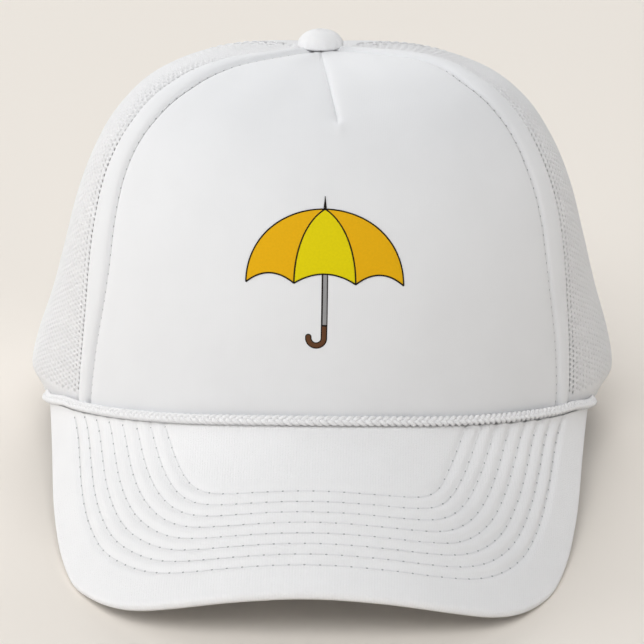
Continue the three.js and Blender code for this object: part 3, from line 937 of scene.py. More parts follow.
class Part:
    """A mesh under construction: points, faces and their materials."""

    # Along a stitch: place, thickness, and rise off the cloth, the last two by thread radius
    stitch_profile = np.array([
        (0.00, 0.30, -0.70),
        (0.06, 0.75, -0.10),
        (0.25, 1.00, 0.45),
        (0.50, 1.00, 0.60),
        (0.75, 1.00, 0.45),
        (0.94, 0.75, -0.10),
        (1.00, 0.30, -0.70),
    ])
    # Needle hole, by thread radius: half length, half width, rise of its edge, and its tips
    hole_size = (2.2, 1.5, 0.3)
    hole_tips = np.array([0.45, -1.2])

    def __init__(self, shape: CapShape) -> None:
        """Starts an empty mesh that is laid on a shape.

        Args:
            shape: surfaces that it is laid on.
        """
        self.shape = shape
        self.points: list[Array] = []
        self.cloth: list[Array] = []
        self.faces: list[Array] = []
        self.slots: list[Array] = []
        self.count = 0

    def add(self, points: Array, faces: list[Array], cloth: Array, slot: int = 0) -> None:
        """Adds a closed body and turns its faces outwards.

        Args:
            points: points in millimetres, in rows of 3.
            faces: indices of the corners, in arrays with rows of 3 or 4.
            cloth: millimetres along the piece for each point, in rows of 3.
            slot: number of the body's material.
        """
        volume = 0.0
        for rows in faces:
            corners = points[rows] - points.mean(0)
            for k in range(2, rows.shape[1]):
                sides = np.cross(corners[:, k - 1], corners[:, k])
                volume += np.einsum("ij,ij->", corners[:, 0], sides)
        for rows in faces:
            self.faces.append((rows if volume > 0 else rows[:, ::-1]) + self.count)
            self.slots.append(np.full(len(rows), slot))
        self.points.append(points)
        self.cloth.append(cloth)
        self.count += len(points)

    def add_shell(self, outer: Array, inner: Array, cloth: Array, slot: int = 0) -> None:
        """Adds the wall between two grids of points with the same rows and columns.

        Args:
            outer: outer grid, rows by columns by 3.
            inner: inner grid of the same size.
            cloth: millimetres along the piece, for each point of a grid.
            slot: number of the material.
        """
        rows, columns = outer.shape[:2]
        index = np.arange(rows * columns).reshape(rows, columns)
        a, b, c, d = index[:-1, :-1], index[:-1, 1:], index[1:, 1:], index[1:, :-1]
        front = np.stack([a, b, c, d], -1).reshape(-1, 4)
        behind = np.stack([a, d, c, b], -1).reshape(-1, 4) + rows * columns
        loop = np.concatenate([index[0, :-1], index[:-1, -1], index[-1, :0:-1], index[:0:-1, 0]])
        after = np.roll(loop, -1)
        rim = np.stack([after, loop, loop + rows * columns, after + rows * columns], -1)
        points = np.concatenate([outer.reshape(-1, 3), inner.reshape(-1, 3)])
        self.add(points, [front, behind, rim], np.tile(cloth.reshape(-1, 3), (2, 1)), slot)

    def add_tube(self, loops: Array, cloth: Array, slot: int = 0) -> None:
        """Adds a tube through loops of points, closed at both ends by a fan.

        Args:
            loops: loops by points by 3.
            cloth: millimetres along the piece, for each point.
            slot: number of the material.
        """
        rows, around = loops.shape[:2]
        index, after, side = ring_faces(rows, around)
        ends = loops[[0, -1]].mean(1)
        first, last = rows * around, rows * around + 1
        caps = np.concatenate([
            np.stack([np.full(around, first), after[0], index[0]], -1),
            np.stack([np.full(around, last), index[-1], after[-1]], -1),
        ])
        points = np.concatenate([loops.reshape(-1, 3), ends])
        marks = np.concatenate([cloth.reshape(-1, 3), cloth[[0, -1]].mean(1)])
        self.add(points, [side, caps], marks, slot)

    def add_stitches(
        self, line: Array, out: Array, pitch: float, radius: float, share: float = 0.84,
        slot: int = 0, holes: int | None = None,
    ) -> None:
        """Adds a row of stitches, each a short length of thread that dips at its ends.

        Args:
            line: points along the row, on the cloth.
            out: unit vectors off the cloth at these points.
            pitch: distance from one stitch to the next.
            radius: radius of the thread.
            share: share of the pitch that the stitch covers.
            slot: number of the thread's material.
            holes: number of the material with the painted shade of the needle holes, if they show.
        """
        along = lengths_along(line)
        count = int(along[-1] / pitch)
        if count < 1:
            return
        bare = pitch * (1 - share) / 2
        starts = (along[-1] - count * pitch) / 2 + np.arange(count) * pitch + bare
        around = turns(THREAD_SIDES)
        shares, swell, rise = self.stitch_profile.T
        where = starts[:, None] + shares * pitch * share
        centre = points_at(where, along, line)
        normal = unit(points_at(where, along, out))
        beside = unit(np.cross(unit(np.gradient(centre, axis=1)), normal))
        centre = centre + normal * (rise * radius)[None, :, None]
        reach = (swell * radius)[None, :, None, None]
        ring = (
            centre[:, :, None]
            + reach * np.cos(around)[None, None, :, None] * beside[:, :, None]
            + reach * np.sin(around)[None, None, :, None] * normal[:, :, None]
        )
        mark = stacked(where[:, :, None], around * radius * 2, 0.0)
        rings, sides = ring.shape[1:3]
        _, _, side = ring_faces(rings, sides)
        caps = np.array([[0, 5, 4, 3], [0, 3, 2, 1]])
        far = np.array([[0, 1, 2, 3], [0, 3, 4, 5]]) + (rings - 1) * sides
        one = np.concatenate([side, caps, far])
        faces = (one[None] + (np.arange(count) * rings * sides)[:, None, None]).reshape(-1, 4)
        self.add(ring.reshape(-1, 3), [faces], mark.reshape(-1, 3), slot)
        if holes is not None:
            self.add_holes(line, out, starts - bare, along, radius, holes)

    def add_holes(
        self, line: Array, out: Array, places: Array, along: Array, radius: float, slot: int
    ) -> None:
        """Adds the needle holes of a row of stitches, as small dimples in a darker material that paints
        their shade.

        Args:
            line: points along the row, on the cloth.
            out: unit vectors off the cloth at these points.
            places: lengths along the row at which the holes are.
            along: length along the row of each of its points.
            radius: radius of the thread.
            slot: number of the material.
        """
        centre = points_at(places, along, line)
        normal = unit(points_at(places, along, out))
        ahead = unit(np.gradient(centre, axis=0))
        beside = unit(np.cross(ahead, normal))
        turn = turns(THREAD_SIDES)
        long, wide, rise = self.hole_size
        ring = (
            centre[:, None]
            + long * radius * np.cos(turn)[None, :, None] * ahead[:, None]
            + wide * radius * np.sin(turn)[None, :, None] * beside[:, None]
            + rise * radius * normal[:, None]
        )
        tips = centre[:, None] + normal[:, None] * (self.hole_tips * radius)[None, :, None]
        points = np.concatenate([ring, tips], axis=1)
        own, top, foot = np.arange(THREAD_SIDES), THREAD_SIDES, THREAD_SIDES + 1
        after = (own + 1) % THREAD_SIDES
        one = np.concatenate([
            np.stack([own, after, np.full(THREAD_SIDES, top)], -1),
            np.stack([after, own, np.full(THREAD_SIDES, foot)], -1),
        ])
        size = points.shape[1]
        faces = (one[None] + (np.arange(len(places)) * size)[:, None, None]).reshape(-1, 3)
        self.add(points.reshape(-1, 3), [faces], np.zeros((len(places) * size, 3)), slot)

    def build(
        self, name: str, finishes: list[ClothFinish | PlasticFinish | InkFinish], slot: str, *nodes: str
    ) -> bpy.types.Object:
        """Makes the object, which rides on the cap's body.

        Args:
            name: name of the object.
            finishes: its finishes, in the order of the slots.
            slot: not used.
            nodes: CAD nodes that it stands for.

        Returns:
            The new object.
        """
        points = self.shape.metres(np.concatenate(self.points))
        corners = np.concatenate([f.ravel() for f in self.faces])
        sizes = np.concatenate([np.full(len(f), f.shape[1]) for f in self.faces])
        mesh = bpy.data.meshes.new(name)
        mesh.vertices.add(len(points))
        mesh.vertices.foreach_set("co", points.astype(np.float32).ravel())
        mesh.loops.add(len(corners))
        mesh.loops.foreach_set("vertex_index", corners.astype(np.int32))
        mesh.polygons.add(len(sizes))
        starts = np.concatenate([[0], np.cumsum(sizes)[:-1]])
        mesh.polygons.foreach_set("loop_start", starts.astype(np.int32))
        mesh.polygons.foreach_set("material_index", np.concatenate(self.slots).astype(np.int32))
        mesh.polygons.foreach_set("use_smooth", np.ones(len(sizes), bool))
        mesh.update(calc_edges=True)
        mesh.validate()
        marks = mesh.attributes.new("cloth", "FLOAT_VECTOR", "POINT")
        marks.data.foreach_set("vector", np.concatenate(self.cloth).astype(np.float32).ravel())
        for finish in finishes:
            mesh.materials.append(material_of(finish))
        piece = bpy.data.objects.new(name, mesh)
        bpy.context.scene.collection.objects.link(piece)
        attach(piece, BODY)
        if nodes:
            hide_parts(*nodes)
        log.info("%s: %d points, %d faces", name, len(points), len(sizes))
        return piece


@dataclass
class FrontPanel:
    """The foam front: one padded panel, topstitched beside its seams, with a dart."""

    shape: CapShape
    columns: int = 236
    rows: int = 128
    edge_radius: float = 1.5
    groove_depth: float = 0.75
    band_fullness: float = 1.0
    stitch_pitch: float = 3.1
    thread_radius: float = 0.17
    dart_depth: float = 1.5
    dart_slope: float = 4.0
    dart_wall: float = 1.0
    topstitch_angle: float = math.radians(54.1)
    crease: float = math.radians(5.6)
    band_roundness: float = 0.8
    groove_width: float = 0.95
    bite_depth: float = 0.6
    bite_width: float = 0.42
    thread_lift: float = 0.48
    swell_height: float = 0.3
    swell_inset: float = 5.0
    swell_width: float = 4.0
    fold_share: float = 0.28
    fold_slope: float = 0.6
    dart_start: tuple[float, float] = (0.772, 0.795)
    dart_end: tuple[float, float] = (0.92, 0.97)
    dart_end_loss: float = 0.7
    pucker_height: float = 0.35
    pucker_offset: float = 0.5
    pucker_width: float = 1.6
    pucker_place: float = 0.768
    pucker_span: float = 2.2 / 145
    wander_inset: tuple[float, float] = (6.0, 16.0)

    # Topstitching: place up the wall, and distance from the seam
    topstitch_rows: tuple[tuple[float, float], ...] = (
        (0.00, 7.2),
        (0.15, 7.5),
        (0.31, 8.8),
        (0.46, 11.8),
        (0.58, 10.8),
        (0.70, 9.4),
        (0.84, 9.2),
        (0.93, 7.2),
        (0.98, 3.6),
    )
    # Crease of the dart: place up the wall, and angle
    dart_rows: tuple[tuple[float, float], ...] = (
        (0.700, 6.2),
        (0.775, 6.3),
        (0.792, 6.4),
        (0.820, 6.16),
        (0.860, 5.6),
        (0.900, 5.1),
        (0.942, 4.6),
        (1.000, 3.9),
    )

    def read(self, rows: tuple[tuple[float, float], ...], t: Array) -> Array:
        """Reads a smooth curve through rows of places and values.

        Args:
            rows: places and values, from the lowest place.
            t: places to read.

        Returns:
            Values of the same shape as t.
        """
        knots = with_straight_ends(np.array(rows))
        flat = np.clip(np.asarray(t, float).ravel(), rows[0][0], rows[-1][0])
        return smooth_through(knots[:, 0], knots[:, 1], flat).reshape(np.shape(t))

    def relief(self, angle: Array, t: Array) -> Array:
        """Height of the cloth over the plain crown: seam edges, padding, grooves and dart.

        Args:
            angle: angle from the front.
            t: place from the foot to the top.

        Returns:
            Heights in millimetres.
        """
        angle, t = np.broadcast_arrays(angle, t)
        radian = self.shape.radian(angle, t)
        seam = np.where(angle > 0, self.shape.seam_angle(1, t), -self.shape.seam_angle(-1, t))
        inset = np.maximum((seam - np.abs(angle)) * radian, 0)
        inside = np.clip(self.edge_radius - inset, 0, self.edge_radius)
        edge = self.edge_radius - np.sqrt(self.edge_radius**2 - inside**2)
        line = self.read(self.topstitch_rows, t)
        band = self.band_fullness * np.sin(math.pi * np.clip(inset / line, 0, 1)) ** self.band_roundness
        groove = self.groove_depth * bell(inset - line, self.groove_width)
        groove = groove + self.bite_depth * bell(inset - line, self.bite_width)
        swell = self.swell_height * bell(inset - line - self.swell_inset, self.swell_width)
        across = (angle - np.radians(self.read(self.dart_rows, t))) * radian
        gentle = (
            (1 - self.fold_share) * np.exp(-np.abs(across) / self.dart_slope)
            + self.fold_share * np.exp(-np.abs(across) / self.fold_slope)
        )
        fall = np.where(across < 0, gentle, np.exp(-across / self.dart_wall))
        dart = self.dart_depth * fall * smoothstep(t, *self.dart_start)
        dart *= 1 - self.dart_end_loss * smoothstep(t, *self.dart_end)
        beside = bell(across - self.pucker_offset, self.pucker_width)
        bump = self.pucker_height * beside * bell(t - self.pucker_place, self.pucker_span)
        # The cloth isn't quite even away from the seams: two slow waves across the panel
        wander = 0.16 * np.sin(angle * 5.1 + t * 4.3) + 0.12 * np.sin(angle * 11.3 - t * 9.1 + 1.7)
        return band - edge - groove + swell - dart + bump + wander * smoothstep(inset, *self.wander_inset)

    def surface(self, angle: Array, t: Array, lift: Array | float = 0.0) -> Array:
        """Points of the cloth's face, raised by a lift."""
        return self.shape.wall(angle, t, -(self.relief(angle, t) + lift))

    def column_angles(self) -> Array:
        """Angles of the columns, closer at the dart, the topstitching and the seams.

        Returns:
            Angles from the front, growing.
        """
        seam = self.shape.front_seam
        fine = np.linspace(-seam, seam, 2000)
        from_seam = seam - np.abs(fine)
        density = (
            1 + 2.2 * bell(fine - self.crease, math.radians(2.6))
            + 0.9 * bell(from_seam, math.radians(1.5))
            + 0.4 * bell(from_seam - math.radians(6.4), math.radians(2.6))
            + 1.8 * bell(np.abs(fine) - self.topstitch_angle, math.radians(0.8))
        )
        total = np.cumsum(density)
        angles = np.interp(np.linspace(total[0], total[-1], self.columns), total, fine)
        for exact in (self.crease, -self.topstitch_angle, self.topstitch_angle):
            angles[np.abs(angles - exact).argmin()] = exact
        return angles

    def build(self) -> bpy.types.Object:
        """Builds the padded panel with its two rows of topstitching.

        Returns:
            The new object.
        """
        shape = self.shape
        base = self.column_angles()[None, :]
        top = shape.at_radius(np.array([0.0]), shape.shank_radius + shape.gap)[0]
        t = np.linspace(0, 1, self.rows)[:, None] * top
        share = np.abs(base) / shape.front_seam
        angle = np.broadcast_to(base, (self.rows, self.columns)).copy()
        # The outer columns follow the seams, some follow the topstitching beside them, and
        # those at the dart follow its crease
        for side in (-1, 1):
            seam = shape.seam_angle(side, t)
            radian = shape.radian(seam, t)
            limit = seam - side * shape.gap / 2 / radian
            pull = limit - side * shape.front_seam
            angle += pull * share**6 * (base * side > 0)
            plain = side * self.topstitch_angle
            stitched = seam - side * self.read(self.topstitch_rows, t) / radian
            pulled = pull * (self.topstitch_angle / shape.front_seam) ** 6
            ease = 1 - smoothstep(t, 0.9, 0.95)
            angle += (stitched - plain - pulled) * ease * bell(base - plain, math.radians(2.8))
        shift = np.radians(self.read(self.dart_rows, t)) - self.crease
        angle += shift * bell(base - self.crease, math.radians(6))
        t = np.broadcast_to(t, angle.shape)
        outer = self.surface(angle, t)
        inner = shape.wall(angle, t, shape.foam_thickness)
        part = Part(shape)
        part.add_shell(outer, inner, stacked(angle * shape.radian(angle, t), t * WALL_LENGTH, 0.0))
        for side in (-1, 1):
            line, out = self.seam_row(side)
            part.add_stitches(line, out, self.stitch_pitch, self.thread_radius, slot=1, holes=2)
        # Needle holes get painted shade: a darker grey cloth
        finishes = [FOAM_CLOTH, THREAD, PAINTED_HOLE_SHADE]
        piece = part.build("foam_front", finishes, "foam_cloth", "front_panel")
        return piece

    def seam_row(self, side: int) -> tuple[Array, Array]:
        """Line of the topstitching beside one seam, and the directions off the cloth.

        Args:
            side: 1 for the +X side and -1 for the -X side.

        Returns:
            Points of the line, and unit vectors.
        """
        t = np.linspace(0.055, 0.972, 400)
        seam = self.shape.seam_angle(side, t)
        angle = seam - side * self.read(self.topstitch_rows, t) / self.shape.radian(seam, t)
        return self.surface(angle, t, self.thread_lift), self.shape.axes(angle, t)[2]


class Ink(Enum):
    """Colours of the print's inks, in the order of their slots."""

    ORANGE = "#E8B110"
    YELLOW = "#E3D208"
    BLACK = "#1C1712"
    GREY = "#9A9A9B"
    BROWN = "#63412A"


class Layer(IntEnum):
    """How many films of ink lie on one another at a place."""

    UNDER = 1
    HANDLE = 2
    CANOPY = 3
    LINE = 4


@dataclass
class UmbrellaPrint:
    """A plain open umbrella printed on the front: half ellipses, a shaft and a hook.

    Lengths are across from the middle of the panel and up from its foot, on the cloth.
    """

    panel: FrontPanel
    middle: float = 2.2
    base: float = 50.0
    half_width: float = 24.5
    height: float = 23.0
    middle_half_width: float = 9.5
    gore_point: float = 0.5
    scallop: float = 3.0
    tip: float = 4.3
    shaft_width: float = 1.35
    shaft_foot: float = 37.3
    hook_radius: float = 2.4
    hook_height: float = 4.25
    handle_width: float = 1.35
    line_width: float = 0.44
    film: float = 0.05
    slant: float = 0.046
    sag: float = 0.4
    film_root: float = 0.25
    canopy_turn = np.linspace(0.02, math.pi / 2, 40)

    @cached_property
    def heights(self) -> tuple[Array, Array]:
        """Places t up the middle of the panel, and their lengths from the foot.

        Returns:
            Places, and lengths.
        """
        t = np.linspace(0, 1, 1500)
        line = self.panel.shape.surface(np.zeros_like(t), t)
        return t, lengths_along(line)

    def lay(self, part: Part, flat: Array, ink: Ink, layer: Layer) -> None:
        """Lays a grid of flat places on the cloth as a thin film.

        Args:
            part: mesh to add to.
            flat: rows by columns by 2, across and up.
            ink: the ink.
            layer: how many films lie there, with this one.
        """
        t_line, lengths = self.heights
        # The cloth's own rows rise to one side, and the print runs level
        level = self.slant * flat[..., 0] + self.sag * (flat[..., 0] / self.half_width) ** 2
        t = np.interp(flat[..., 1] - level, lengths, t_line)
        shape = self.panel.shape
        angle = (flat[..., 0] + self.middle) / shape.radian(np.zeros_like(t), t)
        outer = self.panel.surface(angle, t, self.film * layer)
        inner = self.panel.surface(angle, t, -self.film_root)
        part.add_shell(outer, inner, stacked(flat[..., 0], flat[..., 1], 0.0), list(Ink).index(ink))

    def ribbon(self, part: Part, path: Array, width: float, ink: Ink, layer: Layer) -> None:
        """Lays a ribbon of ink along a path of flat places.

        Args:
            part: mesh to add to.
            path: points across and up.
            width: width of the ribbon.
            ink: the ink.
            layer: how many films lie there, with this one.
        """
        ahead = unit(np.gradient(path, axis=0))
        side = np.stack([-ahead[:, 1], ahead[:, 0]], -1)
        shares = np.linspace(-0.5, 0.5, 4)[:, None, None]
        self.lay(part, path[None] + side[None] * shares * width, ink, layer)

    def gore_side(self, half_width: float, turn: Array) -> Array:
        """Finds how far a gore's side is from the middle: an ellipse, or an arch in the middle.

        Args:
            half_width: distance at the foot, negative to the left.
            turn: from 0 at the top of the canopy to a right angle at its foot.

        Returns:
            Distances across from the middle.
        """
        point = self.gore_point * (abs(half_width) < self.half_width)
        steep = 1 - (point / (1 + point)) ** 2
        return half_width * ((1 + point) * np.sqrt(1 - steep * np.cos(turn) ** 2) - point)

    def arc(self, half_width: float) -> Array:
        """Line of a gore's side from the top of the canopy to its foot."""
        up = self.base + self.height * np.cos(self.canopy_turn)
        return np.stack([self.gore_side(half_width, self.canopy_turn), up], -1)

    def gore(self, left: float, right: float) -> Array:
        """Grid of one gore between two half ellipses, with its scalloped foot.

        Args:
            left: distance of its left side at the foot.
            right: distance of its right side.

        Returns:
            Rows by columns by 2, across and up.
        """
        share = np.linspace(0, 1, 30)[:, None]
        turn = self.canopy_turn[None]
        first, last = self.gore_side(left, turn), self.gore_side(right, turn)
        across = first + (last - first) * share
        rise = self.scallop * 4 * share * (1 - share) * (turn / (math.pi / 2)) ** 7
        up = self.base + self.height * np.cos(turn) + rise
        return stacked(across, up)

    def build(self) -> bpy.types.Object:
        """Builds the print, one ink at a time.

        Returns:
            The new object.
        """
        part = Part(self.panel.shape)
        inner, outer = self.middle_half_width, self.half_width
        self.shaft(part)
        for left, right, ink in (
            (-outer, -inner, Ink.ORANGE), (inner, outer, Ink.ORANGE), (-inner, inner, Ink.YELLOW),
        ):
            self.lay(part, self.gore(left, right), ink, Layer.CANOPY)
        for half_width in (-outer, -inner, inner, outer):
            self.ribbon(part, self.arc(half_width), self.line_width, Ink.BLACK, Layer.LINE)
        for left, right in ((-outer, -inner), (-inner, inner), (inner, outer)):
            foot = self.gore(left, right)[:, -1]
            self.ribbon(part, foot, self.line_width, Ink.BLACK, Layer.LINE)
        top = self.base + self.height
        rise = np.linspace(0, 1, 8)[None]
        side = np.linspace(-0.5, 0.5, 3)[:, None]
        spike = stacked(side * (1.1 - 0.95 * rise), top - 0.2 + self.tip * rise)
        self.lay(part, spike, Ink.BLACK, Layer.LINE)
        inks = [InkFinish(f"printed_ink_{ink.name.lower()}", ink.value) for ink in Ink]
        return part.build("front_print", inks, "foam_cloth")

    def shaft(self, part: Part) -> None:
        """Lays the shaft and the hooked handle over their darker outlines.

        Args:
            part: mesh to add to.
        """
        line = self.line_width * 0.75
        up = np.linspace(self.base + self.scallop + 0.3, self.shaft_foot, 30)
        pole = np.stack([np.zeros_like(up), up], -1)
        low = self.shaft_foot - self.hook_height
        turn = np.linspace(0, math.pi, 30)
        bend = self.hook_radius
        hook = np.concatenate([
            np.stack([np.zeros(8), np.linspace(self.shaft_foot, low, 9)[:-1]], -1),
            np.stack([bend * (np.cos(turn) - 1), low - bend * np.sin(turn)], -1),
            np.stack([np.full(3, -2 * bend), low + np.linspace(0, 0.3, 4)[1:]], -1),
        ])
        self.ribbon(part, pole, self.shaft_width + 2 * line, Ink.BLACK, Layer.UNDER)
        self.ribbon(part, pole + [0.1, 0], self.shaft_width - 0.15, Ink.GREY, Layer.HANDLE)
        self.ribbon(part, hook, self.handle_width + 2 * line, Ink.BLACK, Layer.UNDER)
        self.ribbon(part, hook[1:], self.handle_width, Ink.BROWN, Layer.HANDLE)
        ring = np.linspace(0, math.pi, 12)[:, None]
        out = np.linspace(0.02, 1, 4)[None]
        end = self.handle_width / 2
        for size, ink, layer in ((end + line, Ink.BLACK, Layer.UNDER), (end, Ink.BROWN, Layer.HANDLE)):
            cap = np.stack([np.cos(ring) * out * size, np.sin(ring) * out * size], -1) + hook[-1]
            self.lay(part, cap, ink, layer)


@dataclass
class NetPanel:
    """A panel of knitted net, with its holes in rows that are offset by half."""

    shape: CapShape
    name: str
    node: str
    start: Callable[[Array], Array]
    end: float
    arch: Callable[[Array], Array] | None = None
    hole_pitch_across: float = NET_COLUMN
    hole_pitch_up: float = 1.9
    hole_half_width: float = 0.48
    hole_half_height: float = 0.62
    near_share: float = 1.0
    far_share: float = 0.62
    thickness: float = 0.6
    foot_hem: float = 12.0
    table_rows: int = 160
    table_columns: int = 90
    # Holes are open up to some lengths from the first seam and from a share of the height
    near_seam: tuple[float, float] = (2.5, 8.0)
    near_top: tuple[float, float] = (0.62, 0.8)
    top_opening: float = 0.3
    top_span: tuple[float, float] = (0.66, 0.84)
    # Depths under the crown's face: of the knit, and how much deeper its dips and seams are
    face_depth: float = 0.1
    hole_dip: float = 0.24
    hub_dip: float = 0.1
    top_relief: float = 2.4
    relief_span: tuple[float, float] = (0.62, 0.82)
    seam_tuck: float = 0.75
    tuck_width: float = 1.1

    @cached_property
    def tables(self) -> tuple[Array, Array, Array, Array]:
        """Places t, lengths up the middle, and angles and lengths across each place.

        Returns:
            The four, the last two as rows of one place each.
        """
        t = np.linspace(0, 0.985, self.table_rows)
        first = self.start(t)
        points = self.shape.surface((first + self.end) / 2, t)
        up = lengths_along(points)
        shares = np.linspace(0, 1, self.table_columns)
        angles = first[:, None] + (self.end - first)[:, None] * shares
        grid = self.shape.surface(angles, t[:, None])
        widths = np.linalg.norm(np.diff(grid, axis=1), axis=-1)
        across = np.concatenate([np.zeros((len(t), 1)), np.cumsum(widths, axis=1)], axis=1)
        return t, up, angles, across

    def place(self, u: Array, v: Array) -> tuple[Array, Array]:
        """Turns lengths across from the first seam and up from the foot into a place.

        Args:
            u: length across.
            v: length up.

        Returns:
            Angle from the front, and place from the foot to the top.
        """
        t_rows, up, angles, across = self.tables
        t = np.interp(v, up, t_rows)
        row = np.clip(np.interp(v, up, np.arange(len(t_rows))), 0, len(t_rows) - 1.001)
        low = row.astype(int)
        part = row - low
        fine_step = 0.25
        fine = np.arange(0, across.max() + 1, fine_step)
        inverse = np.stack([np.interp(fine, *pair) for pair in zip(across, angles)])
        column = np.clip(u / fine_step, 0, len(fine) - 1.001)
        left = column.astype(int)
        step = column - left

        def at(r: Array) -> Array:
            """Angle on one row of the table."""
            return inverse[r, left] * (1 - step) + inverse[r, left + 1] * step

        return at(low) * (1 - part) + at(low + 1) * part, t

    def width(self, v: Array) -> Array:
        """Length across the panel at a length up from the foot."""
        _, up, _, across = self.tables
        return np.interp(v, up, across[:, -1])

    def floor(self, u: Array, v: Array) -> Array:
        """Length up from the foot at which the net starts.

        Args:
            u: length across.
            v: length up.

        Returns:
            Lengths, 0 where there is no half-moon.
        """
        if self.arch is None:
            return np.zeros_like(u)
        angle, _ = self.place(u, v)
        t_rows, up, _, _ = self.tables
        return np.interp(self.arch(angle), t_rows, up)

    def build(self) -> bpy.types.Object:
        """Builds the pierced net, cut along its seams.

        Returns:
            The new object.
        """
        wide, high = self.hole_pitch_across, self.hole_pitch_up
        top = self.tables[1][-1]
        columns = int(self.tables[3].max() / wide) + 2
        rows = int(top / high) + 2
        i, j = np.meshgrid(np.arange(columns), np.arange(-1, rows), indexing="ij")
        i, j = i.ravel(), j.ravel()
        centre = np.stack([(i + 0.5) * wide, (j + 0.5 + 0.5 * (i % 2)) * high], -1)
        square = np.array([[1, 0], [1, 1], [-1, 1], [-1, 0], [-1, -1], [1, -1]])
        frame_ring = centre[:, None] + square * [wide / 2, high / 2]
        turn = turns(CELL_SIDES)
        oval = np.stack([np.cos(turn), np.sin(turn)], -1)
        # Holes are pulled open beside the first seam and over the top, and narrower elsewhere
        height = centre[:, 1] / top
        far = smoothstep(centre[:, 0], *self.near_seam) * (1 - smoothstep(height, *self.near_top))
        share = self.near_share + (self.far_share - self.near_share) * far
        share += self.top_opening * smoothstep(height, *self.top_span)
        size = np.stack([self.hole_half_width * share, self.hole_half_height * (1 + share) / 2], -1)
        hole = centre[:, None] + oval * size[:, None]
        # The net is kept where a corner of the cell is inside, and pierced where all are
        u, v = frame_ring[..., 0], frame_ring[..., 1]
        low = self.floor(u, v)
        limit = self.width(np.clip(v, 0, top))
        slack = 1e-6
        inside = (u <= limit + slack) & (v >= low - slack) & (v <= top + slack)
        kept = inside.any(1) & (centre[:, 0] < limit.mean(1) + wide / 2)
        # Near the foot the net is doubled and shut
        pierced = (inside.all(1) & (v.min(1) > self.foot_hem))[kept]
        ring = frame_ring[kept]
        ring[..., 1] = np.clip(np.maximum(ring[..., 1], low[kept]), 0, top)
        ring[..., 0] = np.minimum(ring[..., 0], self.width(ring[..., 1]))
        part = Part(self.shape)
        self.assemble(part, ring, hole[kept], pierced)
        piece = part.build(self.name, [NET_CLOTH], "net_cloth", self.node)
        size = (self.tables[3].max() / MILLIMETRES, top / MILLIMETRES)
        return piece

    def assemble(self, part: Part, ring: Array, hole: Array, pierced: Array) -> None:
        """Joins the cells into one closed mesh.

        Args:
            part: mesh to add to.
            ring: six corners of each cell in lengths across and up.
            hole: six points around each hole.
            pierced: whether each cell has its hole.
        """
        # Corners that lie within a five-hundredth of a millimetre are one
        keys = np.round(ring.reshape(-1, 2) * 500).astype(int)
        _, first, shared = np.unique(keys, axis=0, return_index=True, return_inverse=True)
        corners = ring.reshape(-1, 2)[first]
        cells = shared.reshape(-1, CELL_SIDES)
        n = len(corners)
        open_cells, shut_cells = cells[pierced], cells[~pierced]
        holes, hubs = hole[pierced].reshape(-1, 2), ring[~pierced].mean(1)
        flat = np.concatenate([corners, holes, hubs])
        seam = np.minimum(flat[:, 0], self.width(flat[:, 1]) - flat[:, 0])
        tuck = self.seam_tuck * bell(np.maximum(seam, 0), self.tuck_width)
        dips = np.full(len(holes), self.hole_dip), np.full(len(hubs), self.hub_dip)
        loops = np.concatenate([np.zeros(n), *dips])
        angle, t = self.place(flat[:, 0], flat[:, 1])
        # Seen along the surface near the top, the loops of the knit stand out more
        more = self.top_relief * smoothstep(t, *self.relief_span)
        depth_out = self.face_depth + loops * (1 + more) + tuck
        outer = self.shape.wall(angle, t, depth_out)
        inner = self.shape.wall(angle, t, depth_out + self.thickness)
        total = len(flat)
        hole_at = n + np.arange(len(holes)).reshape(-1, CELL_SIDES)
        hub_at = n + len(holes) + np.arange(len(shut_cells))

        def band(a: Array, b: Array) -> Array:
            """Gives the faces between two rings of points per cell."""
            return np.stack([a, np.roll(a, -1, 1), np.roll(b, -1, 1), b], -1).reshape(-1, 4)

        fan = np.stack([
            shut_cells, np.roll(shut_cells, -1, 1), np.repeat(hub_at[:, None], CELL_SIDES, 1),
        ], -1).reshape(-1, 3)
        fan = fan[fan[:, 0] != fan[:, 1]]
        over = band(open_cells, hole_at)
        walls = band(hole_at, hole_at + total)
        edges = np.concatenate([
            np.stack([c, np.roll(c, -1, 1)], -1).reshape(-1, 2) for c in (open_cells, shut_cells)
        ])
        edges = edges[edges[:, 0] != edges[:, 1]]
        code = np.sort(edges, 1) @ [total, 1]
        _, index, counts = np.unique(code, return_index=True, return_counts=True)
        lone = edges[index[counts == 1]]
        rim = np.stack([lone[:, 1], lone[:, 0], lone[:, 0] + total, lone[:, 1] + total], -1)
        marks = np.column_stack([flat, np.zeros(total)])
        faces = [over, over[:, ::-1] + total, walls, rim, fan, fan[:, ::-1] + total]
        part.add(np.concatenate([outer, inner]), faces, np.concatenate([marks, marks]))


